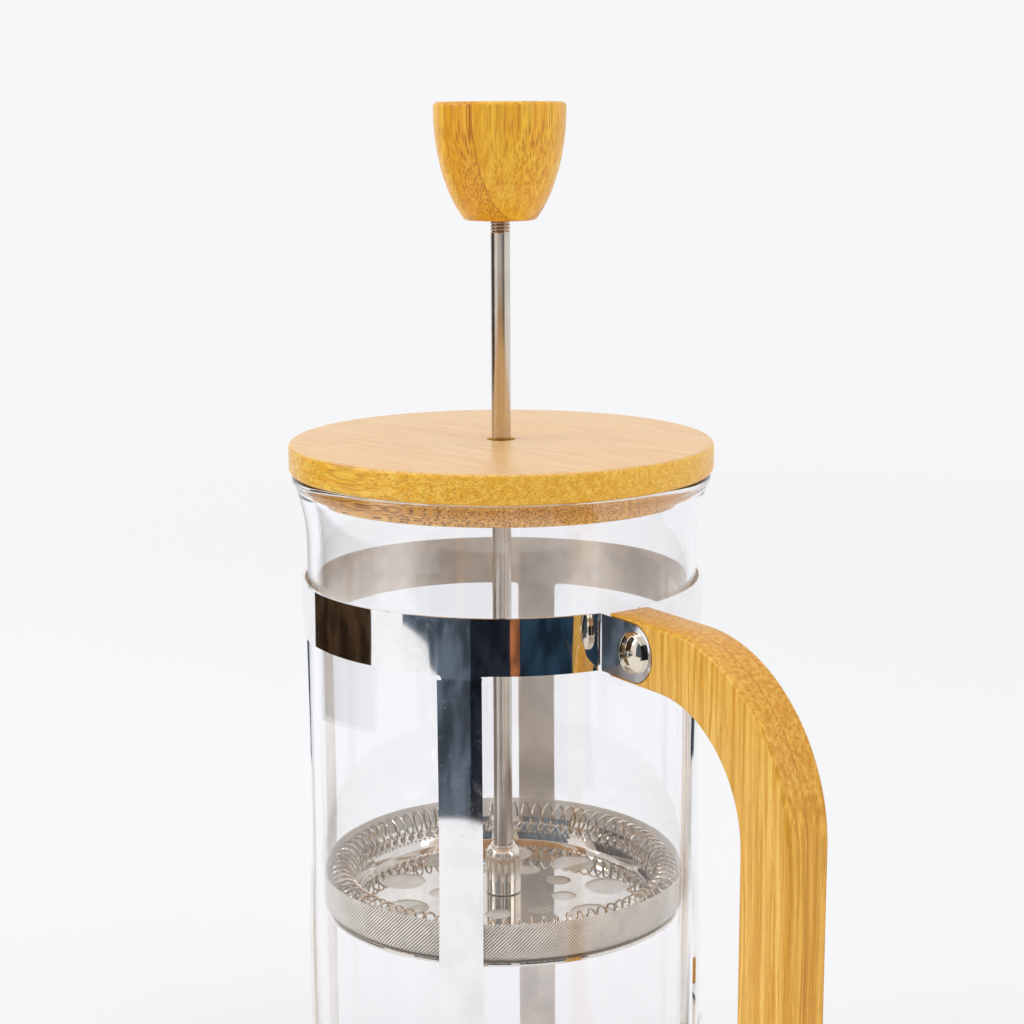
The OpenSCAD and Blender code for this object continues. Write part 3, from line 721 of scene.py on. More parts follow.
def fold_plan(mid_r, tip_x, tip_half):
    """The +Y ear's plan, from its tip to the band's end, as (x, y, half height)."""
    centre_y = EAR_Y + FOLD
    start = math.asin(centre_y / (mid_r + FOLD))
    centre_x = (mid_r + FOLD) * math.cos(start)
    rounding = np.radians(np.linspace(86, 0, 10))
    plan = [(tip_x + tip_half, EAR_Y, tip_half * 0.02)]
    plan += [(tip_x + tip_half * math.sin(a), EAR_Y, tip_half * math.cos(a)) for a in rounding]
    plan += [(x, EAR_Y, tip_half) for x in np.linspace(tip_x, centre_x, 5)[1:-1]]
    for a in np.linspace(math.radians(270), math.pi + start, 8):
        plan.append((centre_x + FOLD * math.cos(a), centre_y + FOLD * math.sin(a), tip_half))
    return plan, math.degrees(start)


def band_plan(mid_r, half, angles):
    """A round stretch of sheet, as (x, y, half height) at the given angles."""
    return [(mid_r * math.cos(a), mid_r * math.sin(a), half) for a in np.radians(angles)]


def upright_sheet(plan, mid_z):
    """The mesh of a standing sheet, row by row from its top edge, and its number of rows."""
    rows = 7
    verts = [(x, y, mid_z + half * v) for v in np.linspace(1, -1, rows) for x, y, half in plan]
    return verts, grid_faces(rows, len(plan)), rows


def strap_line():
    """The strap's path (radius, height) below its fillets, down to the ledge under the glass."""
    bow_r = BAND_MID_R + BOW_OUT
    pinch_r = BAND_MID_R - PINCH_IN
    low = SHEET / 2
    ledge = foot("glass_beaker") - LEDGE_GAP - SHEET / 2
    rise_r = BAND_MID_R - FOOT_IN
    ledge_r = rise_r - LEDGE_IN
    band_foot = BAND_Z - BAND_HALF
    bow_top = BRACKET_Z + BOW_UP
    pinch = (band_foot + bow_top) / 2
    corners = [
        (BAND_MID_R, band_foot - STRAP_FILLET, 0),
        (pinch_r, pinch + PINCH_HALF, 0),
        (pinch_r, pinch - PINCH_HALF, 0),
        (bow_r, bow_top, 0),
        (bow_r, low, FOOT_R),
        (rise_r, low, LEDGE_R),
        (ledge_r, ledge, LEDGE_R),
        (ledge_r - LEDGE_LONG, ledge, 0),
    ]
    return filleted(corners, closed=False, steps=7)


def cage_sheet():
    """The band with its folded ears and its four straps, as one sheet without thickness."""
    flare = math.degrees((STRAP_HALF + STRAP_FILLET) / BAND_MID_R)
    ear, start = fold_plan(BAND_MID_R, SCREW_X, BAND_HALF)
    angles = [
        a for a in np.linspace(start, 360 - start, 121)[1:-1]
        if all(abs(a - s) > flare + 0.8 for s in STRAPS)
    ]
    angles = sorted(angles + [s + flare * c for s in STRAPS for c in STRAP_COLUMNS])
    arc = band_plan(BAND_MID_R, BAND_HALF, angles)
    plan = ear + arc + [(x, -y, h) for x, y, h in reversed(ear)]
    verts, faces, rows = upright_sheet(plan, BAND_Z)
    bottom = (rows - 1) * len(plan) + len(ear)
    fillet = [math.radians(a) for a in np.linspace(30, 90, 5)]
    line = strap_line()
    for s in STRAPS:
        first = bottom + angles.index(s - flare)
        above = list(range(first, first + len(STRAP_COLUMNS)))
        spots = [
            (STRAP_HALF + STRAP_FILLET * (1 - math.sin(a)), BAND_MID_R,
             BAND_Z - BAND_HALF - STRAP_FILLET * (1 - math.cos(a)))
            for a in fillet
        ]
        spots += [(STRAP_HALF, r, z) for r, z in dense(line[1:], STRAP_ROW)]
        for half, r, z in spots:
            turns = math.radians(s) + STRAP_COLUMNS * half / BAND_MID_R
            row = list(range(len(verts), len(verts) + len(turns)))
            verts += [(r * math.cos(a), r * math.sin(a), z) for a in turns]
            faces += [[above[k], above[k + 1], row[k + 1], row[k]] for k in range(len(turns) - 1)]
            above = row
    return verts, faces


def thick_sheet(name, part, node):
    """A piece of sheet steel with its thickness, rounded edges and a duller inner side."""
    obj = build(name, part, merge=True, outward=False)
    faces = obj.data.polygons
    if sum(f.normal.xy.dot(f.center.xy) for f in faces) < 0:
        obj.data.flip_normals()
    obj.data.materials.append(polished_steel)
    obj.data.materials.append(inner_steel)
    solid = obj.modifiers.new("sheet", "SOLIDIFY")
    solid.thickness = SHEET * MM
    solid.offset = 0
    solid.use_even_offset = True
    solid.material_offset = 1
    bevelled(obj, SHEET_EDGE)
    settle(obj)
    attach(obj, "frame")
    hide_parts(node)


def cage():
    """The stamped sheet that holds the beaker."""
    thick_sheet("cage_band_and_straps", cage_sheet(), "cage")


def brackets():
    """The two strips that hold the handle's lower end."""
    for side, node in ((1, "right_bracket"), (-1, "left_bracket")):
        ear, start = fold_plan(BRACKET_MID_R, SCREW_X, BRACKET_HALF)
        plan = ear + band_plan(BRACKET_MID_R, BRACKET_HALF, np.linspace(start, BRACKET_END, 16)[1:])
        verts, faces, _ = upright_sheet([(x, y * side, h) for x, y, h in plan], BRACKET_Z)
        thick_sheet(node + "_strip", (verts, faces), node)


def rivets():
    """Four rivets, each with a flat head inside the strap and a domed one outside the bracket."""
    low, high = BRACKET_MID_R - RIVET_IN, BRACKET_MID_R + SHEET / 2 + GAP
    dome_foot = high + RIVET_SIDE
    dome = [
        (RIVET_R * math.cos(a), dome_foot + RIVET_DOME * math.sin(a))
        for a in np.radians(np.linspace(0, 90, 8))
    ]
    dome[-1] = (0, dome_foot + RIVET_DOME)
    flat = low + RIVET_FLAT
    profile = [
        (0, low), (RIVET_R, low), (RIVET_R, flat), (RIVET_SHANK_R, flat), (RIVET_SHANK_R, high),
        (RIVET_R, high),
    ]
    one = revolve(profile + dome, 32, closed=False)
    spots = []
    for turn in (STRAPS[0], -STRAPS[0]):
        for dz in (-BRACKET_HALF / 2, BRACKET_HALF / 2):
            out = Matrix.Rotation(math.radians(turn), 4, "Z") @ Matrix.Rotation(math.pi / 2, 4, "Y")
            spots.append(Matrix.Translation((0, 0, BRACKET_Z + dz)) @ out)
    obj = build("bracket_rivet_heads", joined(*[placed(one, m) for m in spots]))
    dress(obj, screw_steel, "frame", "bracket_rivets")


# ---- Handle ----

HANDLE_LOW, HANDLE_HIGH = span("handle")
HANDLE_EDGE = 0.9
END_H = 15.0
GRIP_T = 15.5
OUTER_R = 40.0
INNER_R = 28.6
POCKET_GAP = 0.3
POCKET_DEPTH = SHEET + GAP
ARC_STEPS = 25
LEAST_EDGE = 0.05
CUT_OVER = 1.0
CUT_PAST = 2.0


def handle_side(outer):
    """One side of the handle's outline, as (x, z).

    Both sides have the same number of points.
    """
    x = HANDLE_HIGH[0] if outer else HANDLE_HIGH[0] - GRIP_T
    inset = 0 if outer else END_H
    r = OUTER_R if outer else INNER_R
    high, low = HANDLE_HIGH[2] - inset, HANDLE_LOW[2] + inset
    end = HANDLE_LOW[0]
    arm = np.linspace(end, x - r, 6)[:-1]
    bend = np.linspace(0, math.pi / 2, ARC_STEPS)
    points = [(q, high) for q in arm]
    points += [(x - r + r * math.sin(a), high - r + r * math.cos(a)) for a in bend]
    points += [(x, z) for z in np.linspace(high - r, low + r, 8)[1:-1]]
    points += [(x - r + r * math.cos(a), low + r - r * math.sin(a)) for a in bend]
    points += [(q, low) for q in arm[::-1]]
    return np.array(points)


def rounded_section(half_a, half_b, r):
    """A rounded rectangle about the origin, as (a, b)."""
    corners = [(-half_a, -half_b, r), (half_a, -half_b, r), (half_a, half_b, r), (-half_a, half_b, r)]
    return filleted(corners, steps=5)


def handle():
    """The wooden handle: rounded sections along its outline, with a pocket for each ear."""
    outer, inner = handle_side(True), handle_side(False)
    half_w = (HANDLE_HIGH[1] - HANDLE_LOW[1]) / 2
    rows = []
    last = len(outer) - 1
    shrinks = [
        (HANDLE_EDGE * (1 - math.sin(a)), HANDLE_EDGE * (1 - math.cos(a)))
        for a in np.radians([0, 22, 45, 67, 90])
    ]
    stations = [(0, s, t) for s, t in shrinks] + [(i, 0, 0) for i in range(1, last)]
    stations += [(last, s, t) for s, t in reversed(shrinks)]
    for i, inset, along in stations:
        middle, reach = (outer[i] + inner[i]) / 2, outer[i] - inner[i]
        length = np.linalg.norm(reach)
        way = reach / length
        edge = max(HANDLE_EDGE - inset, LEAST_EDGE)
        section = rounded_section(length / 2 - inset, half_w - inset, edge)
        shift = np.array([along, 0]) if i in (0, last) else np.zeros(2)
        for a, b in section:
            x, z = middle + shift + way * a
            rows.append((x, b, z))
    count = len(rows) // len(stations)
    faces = grid_faces(len(stations), count, closed_columns=True)
    faces += [list(range(count)), list(range(len(rows) - count, len(rows)))]
    obj = build("handle_wood", (rows, faces))
    for mid_z, half in ((BAND_Z, BAND_HALF), (BRACKET_Z, BRACKET_HALF)):
        for side in (-1, 1):
            cut_pocket(obj, mid_z, half + POCKET_GAP, side * half_w, side)
    dress(obj, handle_bamboo, "frame", "handle")


def cut_pocket(obj, mid_z, half, face_y, side):
    """Cuts the shallow D-shaped pocket for an ear into one side of the handle."""
    half_turn = np.linspace(0, math.pi, ARC_STEPS)
    round_end = [(SCREW_X + half * math.sin(a), half * math.cos(a)) for a in half_turn]
    past_end = HANDLE_LOW[0] - CUT_PAST
    outline = [(past_end, half)] + round_end + [(past_end, -half)]
    count = len(outline)
    verts = [(x, face_y + side * d, mid_z + z) for d in (CUT_OVER, -POCKET_DEPTH) for x, z in outline]
    faces = grid_faces(2, count, closed_columns=True)
    faces += [list(range(count)), list(range(count, 2 * count))]
    cutter = build("pocket_cutter", (verts, faces))
    cut = obj.modifiers.new("pocket", "BOOLEAN")
    cut.operation = "DIFFERENCE"
    cut.solver = "EXACT"
    cut.object = cutter
    settle(obj)
    bpy.data.objects.remove(cutter)


# ---- Screws and nuts ----

HEAD_R = 4.75
HEAD_SIDE = 0.8
HEAD_DOME = 1.6
HEAD_EDGE = 0.15
SHANK_R = 2.0
RECESS_ARM = 2.55
RECESS_HALF = 0.82
RECESS_DEEP = 1.7
RECESS_SIDE = 0.12
RECESS_END = 0.45
RECESS_NARROWING = 0.35
RECESS_RISE = 0.25
RECESS_R = 2.8
RECESS_TURN = math.radians(20)
NUT_W = 7.0
NUT_H = 2.6
NUT_BORE_R = 2.1
CAP_R = 3.3
CAP_FOOT = 0.6
CAP_SINK = 0.1


def recess_depth(x, y):
    """Depth of the cross recess at a point of the head, less deep and narrower toward its ends."""
    a = x * math.cos(RECESS_TURN) + y * math.sin(RECESS_TURN)
    b = y * math.cos(RECESS_TURN) - x * math.sin(RECESS_TURN)
    depth = 0.0
    for along, across in ((a, b), (b, a)):
        out = min(abs(along) / RECESS_ARM, 1)
        wide = RECESS_HALF * (1 - RECESS_NARROWING * out)
        side = np.clip((wide - abs(across)) / RECESS_SIDE, 0, 1)
        end = np.clip((RECESS_ARM - abs(along)) / RECESS_END, 0, 1)
        depth = max(depth, float(side * end) * RECESS_DEEP * (1 - RECESS_RISE * out))
    return depth


def screw_mesh(length):
    """A cross-recessed screw whose head rises along +Z from 0, with its shank below."""
    ball = (HEAD_R ** 2 + HEAD_DOME ** 2) / (2 * HEAD_DOME)
    radii = [*np.linspace(0, RECESS_R - 0.1, 25), *np.linspace(RECESS_R + 0.1, HEAD_R - HEAD_EDGE, 10)]
    profile = [(r, HEAD_SIDE + HEAD_DOME - ball + math.sqrt(ball ** 2 - r ** 2)) for r in radii]
    profile += [
        (HEAD_R, HEAD_SIDE - 0.1), (HEAD_R, HEAD_EDGE), (HEAD_R - HEAD_EDGE, 0),
        (SHANK_R, 0), (SHANK_R, -length), (0, -length),
    ]
    verts, faces = revolve(profile, 144, closed=False)
    sunk = []
    for x, y, z in verts:
        on_head = z > HEAD_SIDE and math.hypot(x, y) < RECESS_R
        sunk.append((x, y, z - recess_depth(x, y) if on_head else z))
    return sunk, faces


def handle_screws():
    """The two cross-recessed screws through the handle."""
    for name in ("upper_handle_screw", "lower_handle_screw"):
        low, high = span(name)
        seat = low[1] + HEAD_SIDE + HEAD_DOME
        centre = ((low[0] + high[0]) / 2, seat, (low[2] + high[2]) / 2)
        matrix = Matrix.Translation(centre) @ Matrix.Rotation(math.pi / 2, 4, "X")
        obj = build(name + "_pan_head", placed(screw_mesh(high[1] - seat), matrix), sharp=28)
        dress(obj, screw_steel, "frame", name)


def hex_nut(width, low, high, bore):
    """A hexagonal nut along Z with chamfered corners."""
    flat = width / 2
    corner = flat / math.cos(math.pi / 6)

    def hexagon(r, z, angles):
        folded = (angles + math.pi / 6) % (math.pi / 3) - math.pi / 6
        return np.minimum(r, flat / np.cos(folded))

    drop = (corner - flat) * 0.6
    steps = [
        (flat - 0.1, high), (flat + 0.25 * (corner - flat), high - drop * 0.4), (corner, high - drop)
    ]
    sides = steps + [(r, low + high - z) for r, z in reversed(steps)]
    profile = [(bore, high)] + sides + [(bore, low)]
    return revolve(profile, 72, closed=True, shape=hexagon)


def handle_nuts():
    """The two cap nuts behind the handle."""
    for name in ("upper_handle_nut", "lower_handle_nut"):
        low, high = span(name)
        reach = high[1] - low[1]
        dome_foot = NUT_H - CAP_SINK
        dome = [
            (CAP_R * math.cos(a), dome_foot + (reach - NUT_H + CAP_SINK) * math.sin(a))
            for a in np.radians(np.linspace(0, 80, 10))
        ]
        cap = revolve([(0, CAP_FOOT), (CAP_R, CAP_FOOT)] + dome + [(0, reach)], 72, closed=False)
        matrix = Matrix.Translation(((low[0] + high[0]) / 2, low[1], (low[2] + high[2]) / 2))
        matrix = matrix @ Matrix.Rotation(-math.pi / 2, 4, "X")
        obj = build(name + "_cap", placed(joined(hex_nut(NUT_W, 0, NUT_H, NUT_BORE_R), cap), matrix))
        dress(obj, screw_steel, "frame", name)


# ---- Lid ----

LID_HOLE_R = 3.5
LID_EDGE = 1.2
PLUG_EDGE = 0.5


def lid():
    """The lid's disc, and the plug glued under it."""
    low, high = span("lid_disc")
    r, hole = radius("lid_disc"), LID_HOLE_R
    disc = filleted(
        [(hole, low[2], 0.3), (r, low[2], LID_EDGE), (r, high[2], LID_EDGE), (hole, high[2], 0.35)]
    )
    obj = build("lid_wood", revolve(disc, 256))
    dress(obj, lid_bamboo, "lid", "lid_disc")
    low, high = span("lid_plug")
    r = radius("lid_plug")
    under = filleted([(hole, low[2], 0.2), (r, low[2], PLUG_EDGE), (r, high[2], 0), (hole, high[2], 0)])
    obj = build("lid_plug_wood", revolve(under, 256))
    dress(obj, plug_bamboo, "lid", "lid_plug")


# ---- Plunger and knob ----

ROD_R = 2.4
THREAD_R = 2.5
THREAD_DEPTH = 0.4
KNOB_Z = foot("knob")
KNOB_H = top("knob") - KNOB_Z
KNOB_R = radius("knob")
KNOB_FOOT_R = 8.6
KNOB_EDGE = 1.2
KNOB_FOOT_EDGE = 0.35
KNOB_BORE = 14.6
INSERT_R = 4.0
UPPER_THREAD_OUT = 3.0
LOWER_THREAD = 17.0
THREAD_END = 0.02
THREAD_RUNOUT = 0.15
HUB_COLLAR_R = 3.1
HUB_COLLAR_H = 0.45
HUB_SHOULDER = 2.4


def rod():
    """The rod, with a helical thread at each end."""
    low, high = foot("plunger_rod"), top("plunger_rod")
    thread_foot = KNOB_Z - UPPER_THREAD_OUT
    thread_top = low + LOWER_THREAD

    def threaded(r, z, angles):
        if thread_top < z < thread_foot or r < 1:
            return np.full(len(angles), r)
        turn = (z / THREAD_PITCH - angles / (2 * math.pi)) % 1
        return r - THREAD_DEPTH * np.abs(turn * 2 - 1) ** 1.5

    step = THREAD_PITCH / 8
    lower = [(THREAD_R, z) for z in np.arange(low + THREAD_END, thread_top, step)]
    upper = [(THREAD_R, z) for z in np.arange(thread_foot, high - THREAD_END, step)]
    middle = [(ROD_R, thread_top + THREAD_RUNOUT), (ROD_R, thread_foot - THREAD_RUNOUT)]
    profile = [(0, low), (THREAD_R - THREAD_DEPTH, low)] + lower + middle + upper
    profile += [(THREAD_R - THREAD_DEPTH, high), (0, high)]
    obj = build("plunger_rod_steel", revolve(profile, 48, closed=False, shape=threaded), sharp=50)
    dress(obj, rod_steel, "plunger", "plunger_rod")


def hub():
    """The domed sleeve nut above the filter, with a low collar round the rod."""
    low, high = foot("hub_nut"), top("hub_nut")
    r = radius("hub_nut")
    bore = THREAD_R + GAP
    shoulder = high - HUB_COLLAR_H
    corners = [
        (bore, low, 0), (r, low, 0.3), (r, shoulder, HUB_SHOULDER), (HUB_COLLAR_R, shoulder, 0.15),
        (HUB_COLLAR_R, high, 0.12), (bore, high, 0.1),
    ]
    obj = build("filter_hub", revolve(filleted(corners, steps=10), 96))
    dress(obj, hub_steel, "plunger", "hub_nut")


def knob():
    """The turned knob, an ellipse in outline from its foot to its widest line, and its insert."""
    wide_z = KNOB_H - KNOB_EDGE
    half_tall = wide_z / math.sqrt(1 - (KNOB_FOOT_R / KNOB_R) ** 2)
    side = [
        (KNOB_R * math.sqrt(1 - ((wide_z - z) / half_tall) ** 2), z)
        for z in np.linspace(KNOB_FOOT_EDGE, wide_z, 28)
    ]
    edge = [
        (KNOB_R - KNOB_EDGE + KNOB_EDGE * math.cos(a), wide_z + KNOB_EDGE * math.sin(a))
        for a in np.radians(np.linspace(10, 90, 8))
    ]
    bore = INSERT_R + GAP
    profile = [(0, KNOB_BORE), (bore, KNOB_BORE), (bore, 0), (KNOB_FOOT_R - KNOB_FOOT_EDGE, 0)]
    profile += side + edge + [(0, KNOB_H)]
    part = revolve([(r, z + KNOB_Z) for r, z in profile], 192, closed=False)
    dress(build("knob_wood", part, sharp=50), knob_bamboo, "knob", "knob")
    low, high = foot("knob_insert"), top("knob_insert")
    inner = THREAD_R + GAP
    ring = filleted([(inner, low, 0.2), (INSERT_R, low, 0.2), (INSERT_R, high, 0), (inner, high, 0)])
    obj = build("knob_threaded_insert", revolve(ring, 64))
    dress(obj, insert_brass, "knob", "knob_insert")


# ---- Filter ----

PLATE_MID = top("spring_plate") - RIM_H - PLATE / 2
MESH_OUT_R = radius("mesh_screen")
COIL_AT = radius("coil_spring") - COIL_R - COIL_WIRE
COIL_Z = (foot("coil_spring") + top("coil_spring")) / 2
RIM_HOLE_AT = COIL_AT - COIL_R * math.cos(math.radians(COIL_PASS))
CREASE = 0.6
FLOOR_R = RIM_HOLE_AT - RIM_LEAN * RIM_HOLE_UP
LARGE_HOLES = (5.6, 27.0, 22.0)
SMALL_HOLES = (3.15, 16.0, 2.0)
HOLE_PAIRS = 9
RIM_HOLE_R = 0.95
RIM_CELL_HALF = 1.25
MESH_CURVE = 3.2
MESH_HOLE_R = 3.1
CROSS_RING_W = 8.5
CROSS_MIDDLE_R = 12.0
CROSS_ARM_HALF = 6.0
CROSS_EDGE = 0.3
UNDER_NUT_W = 8.0


def plate_floor():
    """The spring plate's flat floor, with its large and small holes."""
    loops = [circle(FLOOR_R - CREASE, 168), circle(THREAD_R + GAP, 32)]
    for r, at, first in (LARGE_HOLES, SMALL_HOLES):
        for centre in circle(at, HOLE_PAIRS, first=first):
            loops.append(circle(r, 48, centre))
    obj = flat_plate("filter_plate", loops, PLATE_MID - PLATE / 2, PLATE_MID + PLATE / 2, PLATE_EDGE)
    dress(obj, plate_steel, "filter", "spring_plate")


def hole_cell(path_at, middle, width, spin):
    """A patch of the upturned rim about one hole, centred at a turn in radians.

    path_at gives the radius and height at a distance along the rim.
    """
    count = 16
    hole = circle(RIM_HOLE_R, count)
    around = circle(1.0, count)
    around /= np.abs(around).max(axis=1, keepdims=True)
    around *= (width / 2, RIM_CELL_HALF)
    verts = []
    for loop in (hole, (hole + around) / 2, around):
        for across, up in loop:
            r, z = path_at(middle + up)
            a = spin + across / RIM_HOLE_AT
            verts.append((r * math.cos(a), r * math.sin(a), z))
    return verts, grid_faces(3, count, closed_columns=True)


def plate_rim():
    """The upturned rim with a small hole for every turn of the coil."""
    lean = unit(np.array([RIM_LEAN, RIM_H]))
    length = math.hypot(RIM_LEAN, RIM_H)
    crease_end = np.array([FLOOR_R, PLATE_MID]) + lean * 3
    bend = [(FLOOR_R - CREASE, PLATE_MID, 0), (FLOOR_R, PLATE_MID, CREASE), (*crease_end, 0)]
    path = filleted(bend, closed=False, steps=5)[:-1]
    width = 2 * math.pi * RIM_HOLE_AT / COIL_TURNS
    hole_up = length * RIM_HOLE_UP
    low, high = hole_up - RIM_CELL_HALF, hole_up + RIM_CELL_HALF

    def path_at(along):
        return FLOOR_R + lean[0] * along, PLATE_MID + lean[1] * along

    parts = []
    quarter = width / 4 / RIM_HOLE_AT
    phase = math.radians(180 + COIL_PASS) / COIL_TURNS
    for k in range(COIL_TURNS):
        spin = phase + 2 * math.pi * k / COIL_TURNS
        parts.append(hole_cell(path_at, hole_up, width, spin))
    spins = phase + (np.arange(COIL_TURNS * 4) - 2) * quarter
    below = path + [path_at(low * 0.6), path_at(low)]
    above = [path_at(high), path_at((high + length) / 2), path_at(length - 0.1)]
    for rows in (below, above):
        verts = [(r * math.cos(a), r * math.sin(a), z) for r, z in rows for a in spins]
        parts.append((verts, grid_faces(len(rows), len(spins), closed_columns=True)))
    obj = build("filter_plate_rim", joined(*parts), merge=True, outward=False)
    solid = obj.modifiers.new("sheet", "SOLIDIFY")
    solid.thickness = PLATE * MM
    solid.offset = 0
    bevelled(obj, PLATE_EDGE)
    settle(obj)
    dress(obj, plate_steel, "filter", "spring_plate")


def coil():
    """The coil spring as one wire that passes through every hole of the rim."""
    steps = COIL_TURNS * 28
    points = []
    for k in range(steps):
        around = 2 * math.pi * k / steps
        turn = around * COIL_TURNS
        r = COIL_AT + COIL_R * math.cos(turn)
        points.append((r * math.cos(around), r * math.sin(around), COIL_Z + COIL_R * math.sin(turn)))
    obj = from_curve("filter_coil", [points], "3D", bevel_depth=COIL_WIRE * MM, bevel_resolution=2)
    dress(obj, wire_steel, "filter", "coil_spring")


def mesh_cup():
    """The woven mesh: a disc under the plate with its wall turned up outside the coil."""
    low, high = span("mesh_screen")
    r, r_in = MESH_OUT_R, MESH_OUT_R - MESH
    floor_in = low[2] + MESH
    under = [(MESH_HOLE_R, low[2], 0), (r, low[2], MESH_CURVE), (r, high[2], 0)]
    over = [(r_in, high[2], 0), (r_in, floor_in, MESH_CURVE - MESH), (MESH_HOLE_R, floor_in, 0)]
    outer, inner = [dense(filleted(side, closed=False, steps=8), 6.0) for side in (under, over)]
    obj = build("filter_mesh", revolve(outer + inner, 240), sharp=60)
    layer = obj.data.uv_layers.new(name="weave")
    for face in obj.data.polygons:
        flat = abs(face.normal.z) > 0.7
        centre_turn = math.atan2(face.center.y, face.center.x)
        for loop in face.loop_indices:
            x, y, z = (c / MM for c in obj.data.vertices[obj.data.loops[loop].vertex_index].co)
            turn = centre_turn + math.remainder(math.atan2(y, x) - centre_turn, 2 * math.pi)
            layer.data[loop].uv = (x, y) if flat else (turn * r, z)
    dress(obj, woven_steel, "filter", "mesh_screen")


def cross_plate():
    """The plate under the mesh: a ring and a middle joined by four arms."""
    low, high = span("cross_plate")
    r = radius("cross_plate")
    ring_in = r - CROSS_RING_W
    corner_in = math.asin(CROSS_ARM_HALF / CROSS_MIDDLE_R)
    corner_out = math.asin(CROSS_ARM_HALF / ring_in)
    inner_arc = np.linspace(corner_in, math.pi / 2 - corner_in, 8)
    outer_arc = np.linspace(math.pi / 2 - corner_out, corner_out, 20)
    edge = [(CROSS_MIDDLE_R, a) for a in inner_arc] + [(ring_in, a) for a in outer_arc]
    loops = [circle(r, 180), circle(THREAD_R + GAP, 32)]
    for quarter in range(4):
        turn = quarter * math.pi / 2
        loops.append([(q * math.cos(a + turn), q * math.sin(a + turn)) for q, a in edge])
    obj = flat_plate("filter_cross_plate", loops, low[2], high[2], CROSS_EDGE)
    dress(obj, plate_steel, "filter", "cross_plate")


def under_nut():
    """The nut that holds the filter's plates together from below."""
    low, high = foot("filter_nut"), top("filter_nut")
    obj = build("filter_under_nut", hex_nut(UNDER_NUT_W, low, high, THREAD_R + GAP))
    dress(obj, screw_steel, "filter", "filter_nut")


# ---- Stage ----

CAMERA_SIDE = 56.5
CAMERA_AWAY = 0.50256
CAMERA_HEIGHT = 0.2677
CAMERA_YAW = 0.296
CAMERA_DOWN = 10.886
CAMERA_ROLL = -0.22
CAMERA_LENS = 72.11
SENSOR = 36.0
CARD_AWAY = 1.0
CARD_LIFT = 0.0005
CARD_HIGH = 0.9
OBJECT_MIDDLE = 0.13


def camera():
    """The camera, turned from straight ahead by its yaw, its downward tilt and its roll."""
    side = Matrix.Rotation(math.radians(CAMERA_SIDE), 4, "Z")
    place = side @ Vector((0, -CAMERA_AWAY, CAMERA_HEIGHT))
    turn = side @ Matrix.Rotation(-math.radians(CAMERA_YAW), 4, "Z")
    turn = turn @ Matrix.Rotation(math.radians(90 - CAMERA_DOWN), 4, "X")
    turn = turn @ Matrix.Rotation(math.radians(CAMERA_ROLL), 4, "Z")
    data = bpy.data.cameras.new("camera")
    data.lens = CAMERA_LENS
    data.sensor_width = SENSOR
    data.clip_start = 0.01
    obj = bpy.data.objects.new("camera", data)
    bpy.context.scene.collection.objects.link(obj)
    obj.matrix_world = Matrix.Translation(place) @ turn
    bpy.context.scene.camera = obj


def floor_material():
    """A pale floor that fades into the background far from the object."""
    material, tree, shader, place = new_material("pale_floor")
    flat = add(tree, "VectorMath", {"operation": "LENGTH"}, Vector=place).outputs["Value"]
    shader.inputs["Base Color"].default_value = colour(246, 246, 248)
    plug(tree, shader.inputs["Roughness"], remap(tree, noise(tree, place, 0.2), 0.3, 0.7, 0.7, 0.8))
    shader.inputs["Specular IOR Level"].default_value = 0.2
    clear = add(tree, "BsdfTransparent")
    mix = add(tree, "MixShader", None, Fac=remap(tree, flat, 420.0, 1300.0))
    tree.links.new(shader.outputs[0], mix.inputs[1])
    tree.links.new(clear.outputs[0], mix.inputs[2])
    tree.links.new(mix.outputs[0], tree.nodes["Material Output"].inputs["Surface"])
    return material


def card_material(name, tint):
    """A card that only polished surfaces show."""
    material, tree, shader, place = new_material(name)
    tree.nodes.remove(shader)
    bands = noise(tree, stretched(tree, place, (0.012, 0.012, 0.0001)), 1.0, 2.0)
    dark, light = [c * 0.5 for c in tint], [c * 1.5 for c in tint]
    glow = add(tree, "Emission", None, Color=blended(tree, remap(tree, bands, 0.35, 0.65), dark, light))
    clear = add(tree, "BsdfTransparent")
    bounces = add(tree, "LightPath").outputs["Glossy Depth"]
    mix = add(tree, "MixShader", None, Fac=calc(tree, "GREATER_THAN", bounces, 0.5))
    tree.links.new(clear.outputs[0], mix.inputs[1])
    tree.links.new(glow.outputs[0], mix.inputs[2])
    tree.links.new(mix.outputs[0], tree.nodes["Material Output"].inputs["Surface"])
    return material


def stage_mesh(name, verts, faces, material, card=False):
    """A floor or a card. A card shows only in what polished surfaces reflect."""
    mesh = bpy.data.meshes.new(name)
    mesh.from_pydata(verts, [], faces)
    mesh.materials.append(material)
    obj = bpy.data.objects.new(name, mesh)
    bpy.context.scene.collection.objects.link(obj)
    if card:
        obj.visible_camera = False
        obj.visible_diffuse = False
        obj.visible_shadow = False


def card(name, left, right, near, tint, high=CARD_HIGH):
    """A bent card between two angles clockwise from the camera's side.

    It lies on the floor from its two near distances outward, then stands up.
    """
    count = 10
    turns = np.radians(CAMERA_SIDE - 90 + np.linspace(left, right, count))
    starts = np.linspace(near[0], near[1], count)
    rows = [(r, CARD_LIFT, a) for r, a in zip(starts, turns)]
    rows += [(CARD_AWAY, z, a) for z in (CARD_LIFT, high) for a in turns]
    verts = [(r * math.cos(a), r * math.sin(a), z) for r, z, a in rows]
    stage_mesh(name, verts, grid_faces(3, count), card_material(name, tint), card=True)


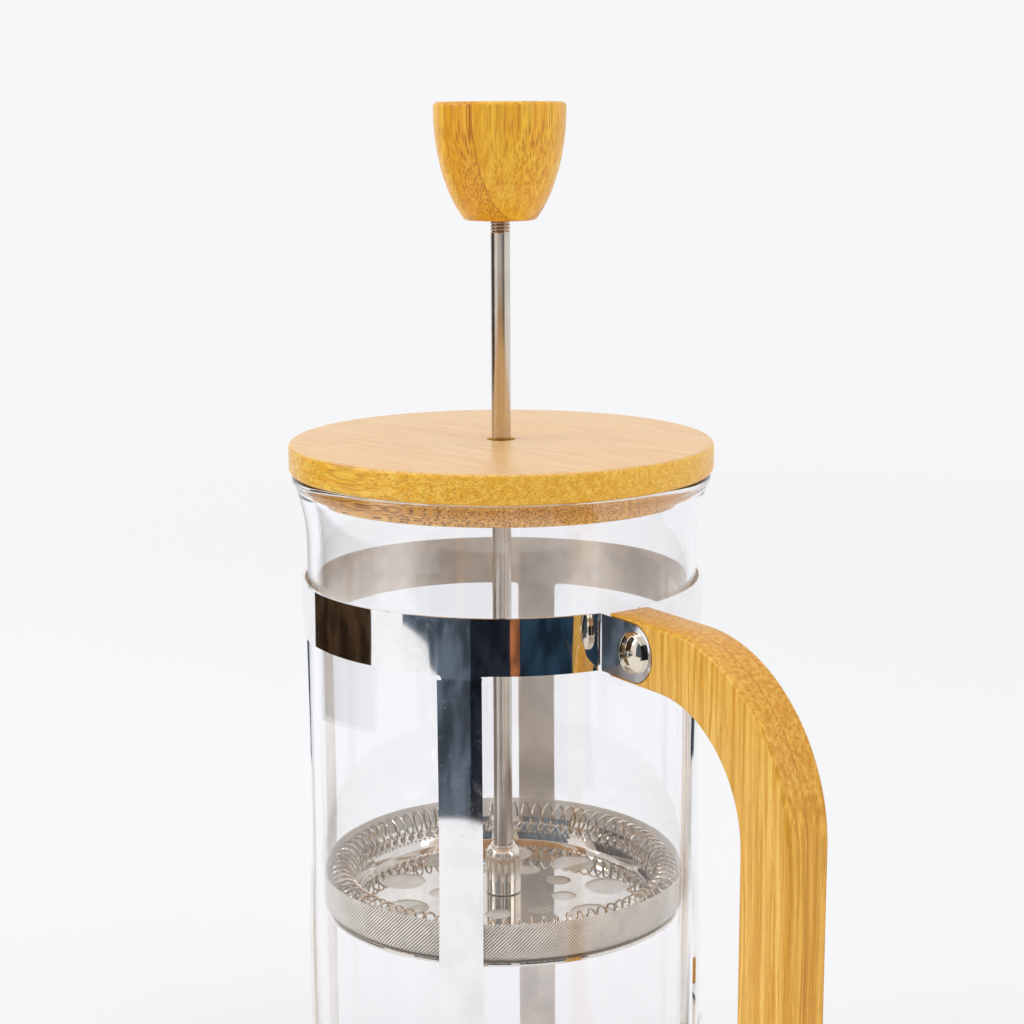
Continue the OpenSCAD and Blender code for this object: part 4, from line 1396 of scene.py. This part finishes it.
def studio():
    """The floor, the cards, the lights and the surround."""
    edge = 3.0
    corners = [(-edge, -edge, 0), (edge, -edge, 0), (edge, edge, 0), (-edge, edge, 0)]
    stage_mesh("floor", corners, [(0, 1, 2, 3)], floor_material())
    card("slate_far", -55, -35, (0.68, 0.58), colour(92, 104, 118))
    card("slate_near", -35, -17, (0.35, 0.35), colour(82, 92, 104))
    card("dark_middle", -17, 4.5, (0.35, 0.35), colour(30, 33, 42))
    card("warm_strip", 4.5, 9.5, (0.44, 0.44), colour(158, 98, 62), 0.002)
    card("navy", 9.5, 51, (0.35, 0.35), colour(34, 52, 68))
    card("brown", -130, -76, (0.42, 0.42), colour(58, 43, 30))
    soft_light("key_light", (-0.9, -1.5, 1.3), 1.2, 12)
    soft_light("fill_light", (1.6, 0.6, 1.2), 1.2, 4)
    soft_light("top_light", (0.1, 0.2, 1.9), 1.4, 5)
    background()


def soft_light(name, place, size, power):
    """A square lamp that faces the middle of the object."""
    data = bpy.data.lights.new(name, "AREA")
    data.size = size
    data.energy = power
    obj = bpy.data.objects.new(name, data)
    bpy.context.scene.collection.objects.link(obj)
    obj.location = place
    aim = Vector((0, 0, OBJECT_MIDDLE)) - Vector(place)
    obj.rotation_euler = aim.to_track_quat("-Z", "Y").to_euler()
    obj.visible_camera = False


def background():
    """A white surround, a little dimmer where it lights matt surfaces."""
    world = bpy.data.worlds.new("white_surround")
    world.use_nodes = True
    bpy.context.scene.world = world
    tree = world.node_tree
    lighting = add(tree, "LightPath").outputs["Is Diffuse Ray"]
    tint = blended(tree, lighting, [0.925, 0.928, 0.945, 1], [0.74, 0.745, 0.75, 1])
    plug(tree, tree.nodes["Background"].inputs["Color"], tint)


def render_settings():
    scene = bpy.context.scene
    scene.view_settings.view_transform = "Standard"
    scene.view_settings.look = "None"
    scene.cycles.use_denoising = True
    scene.cycles.max_bounces = 16
    scene.cycles.transmission_bounces = 14
    scene.cycles.glossy_bounces = 8
    scene.cycles.transparent_max_bounces = 32
    scene.cycles.blur_glossy = 0.3


def main():
    camera()
    studio()
    render_settings()
    beaker()
    cage()
    brackets()
    rivets()
    handle()
    handle_screws()
    handle_nuts()
    lid()
    rod()
    hub()
    knob()
    plate_floor()
    plate_rim()
    coil()
    mesh_cup()
    cross_plate()
    under_nut()


main()
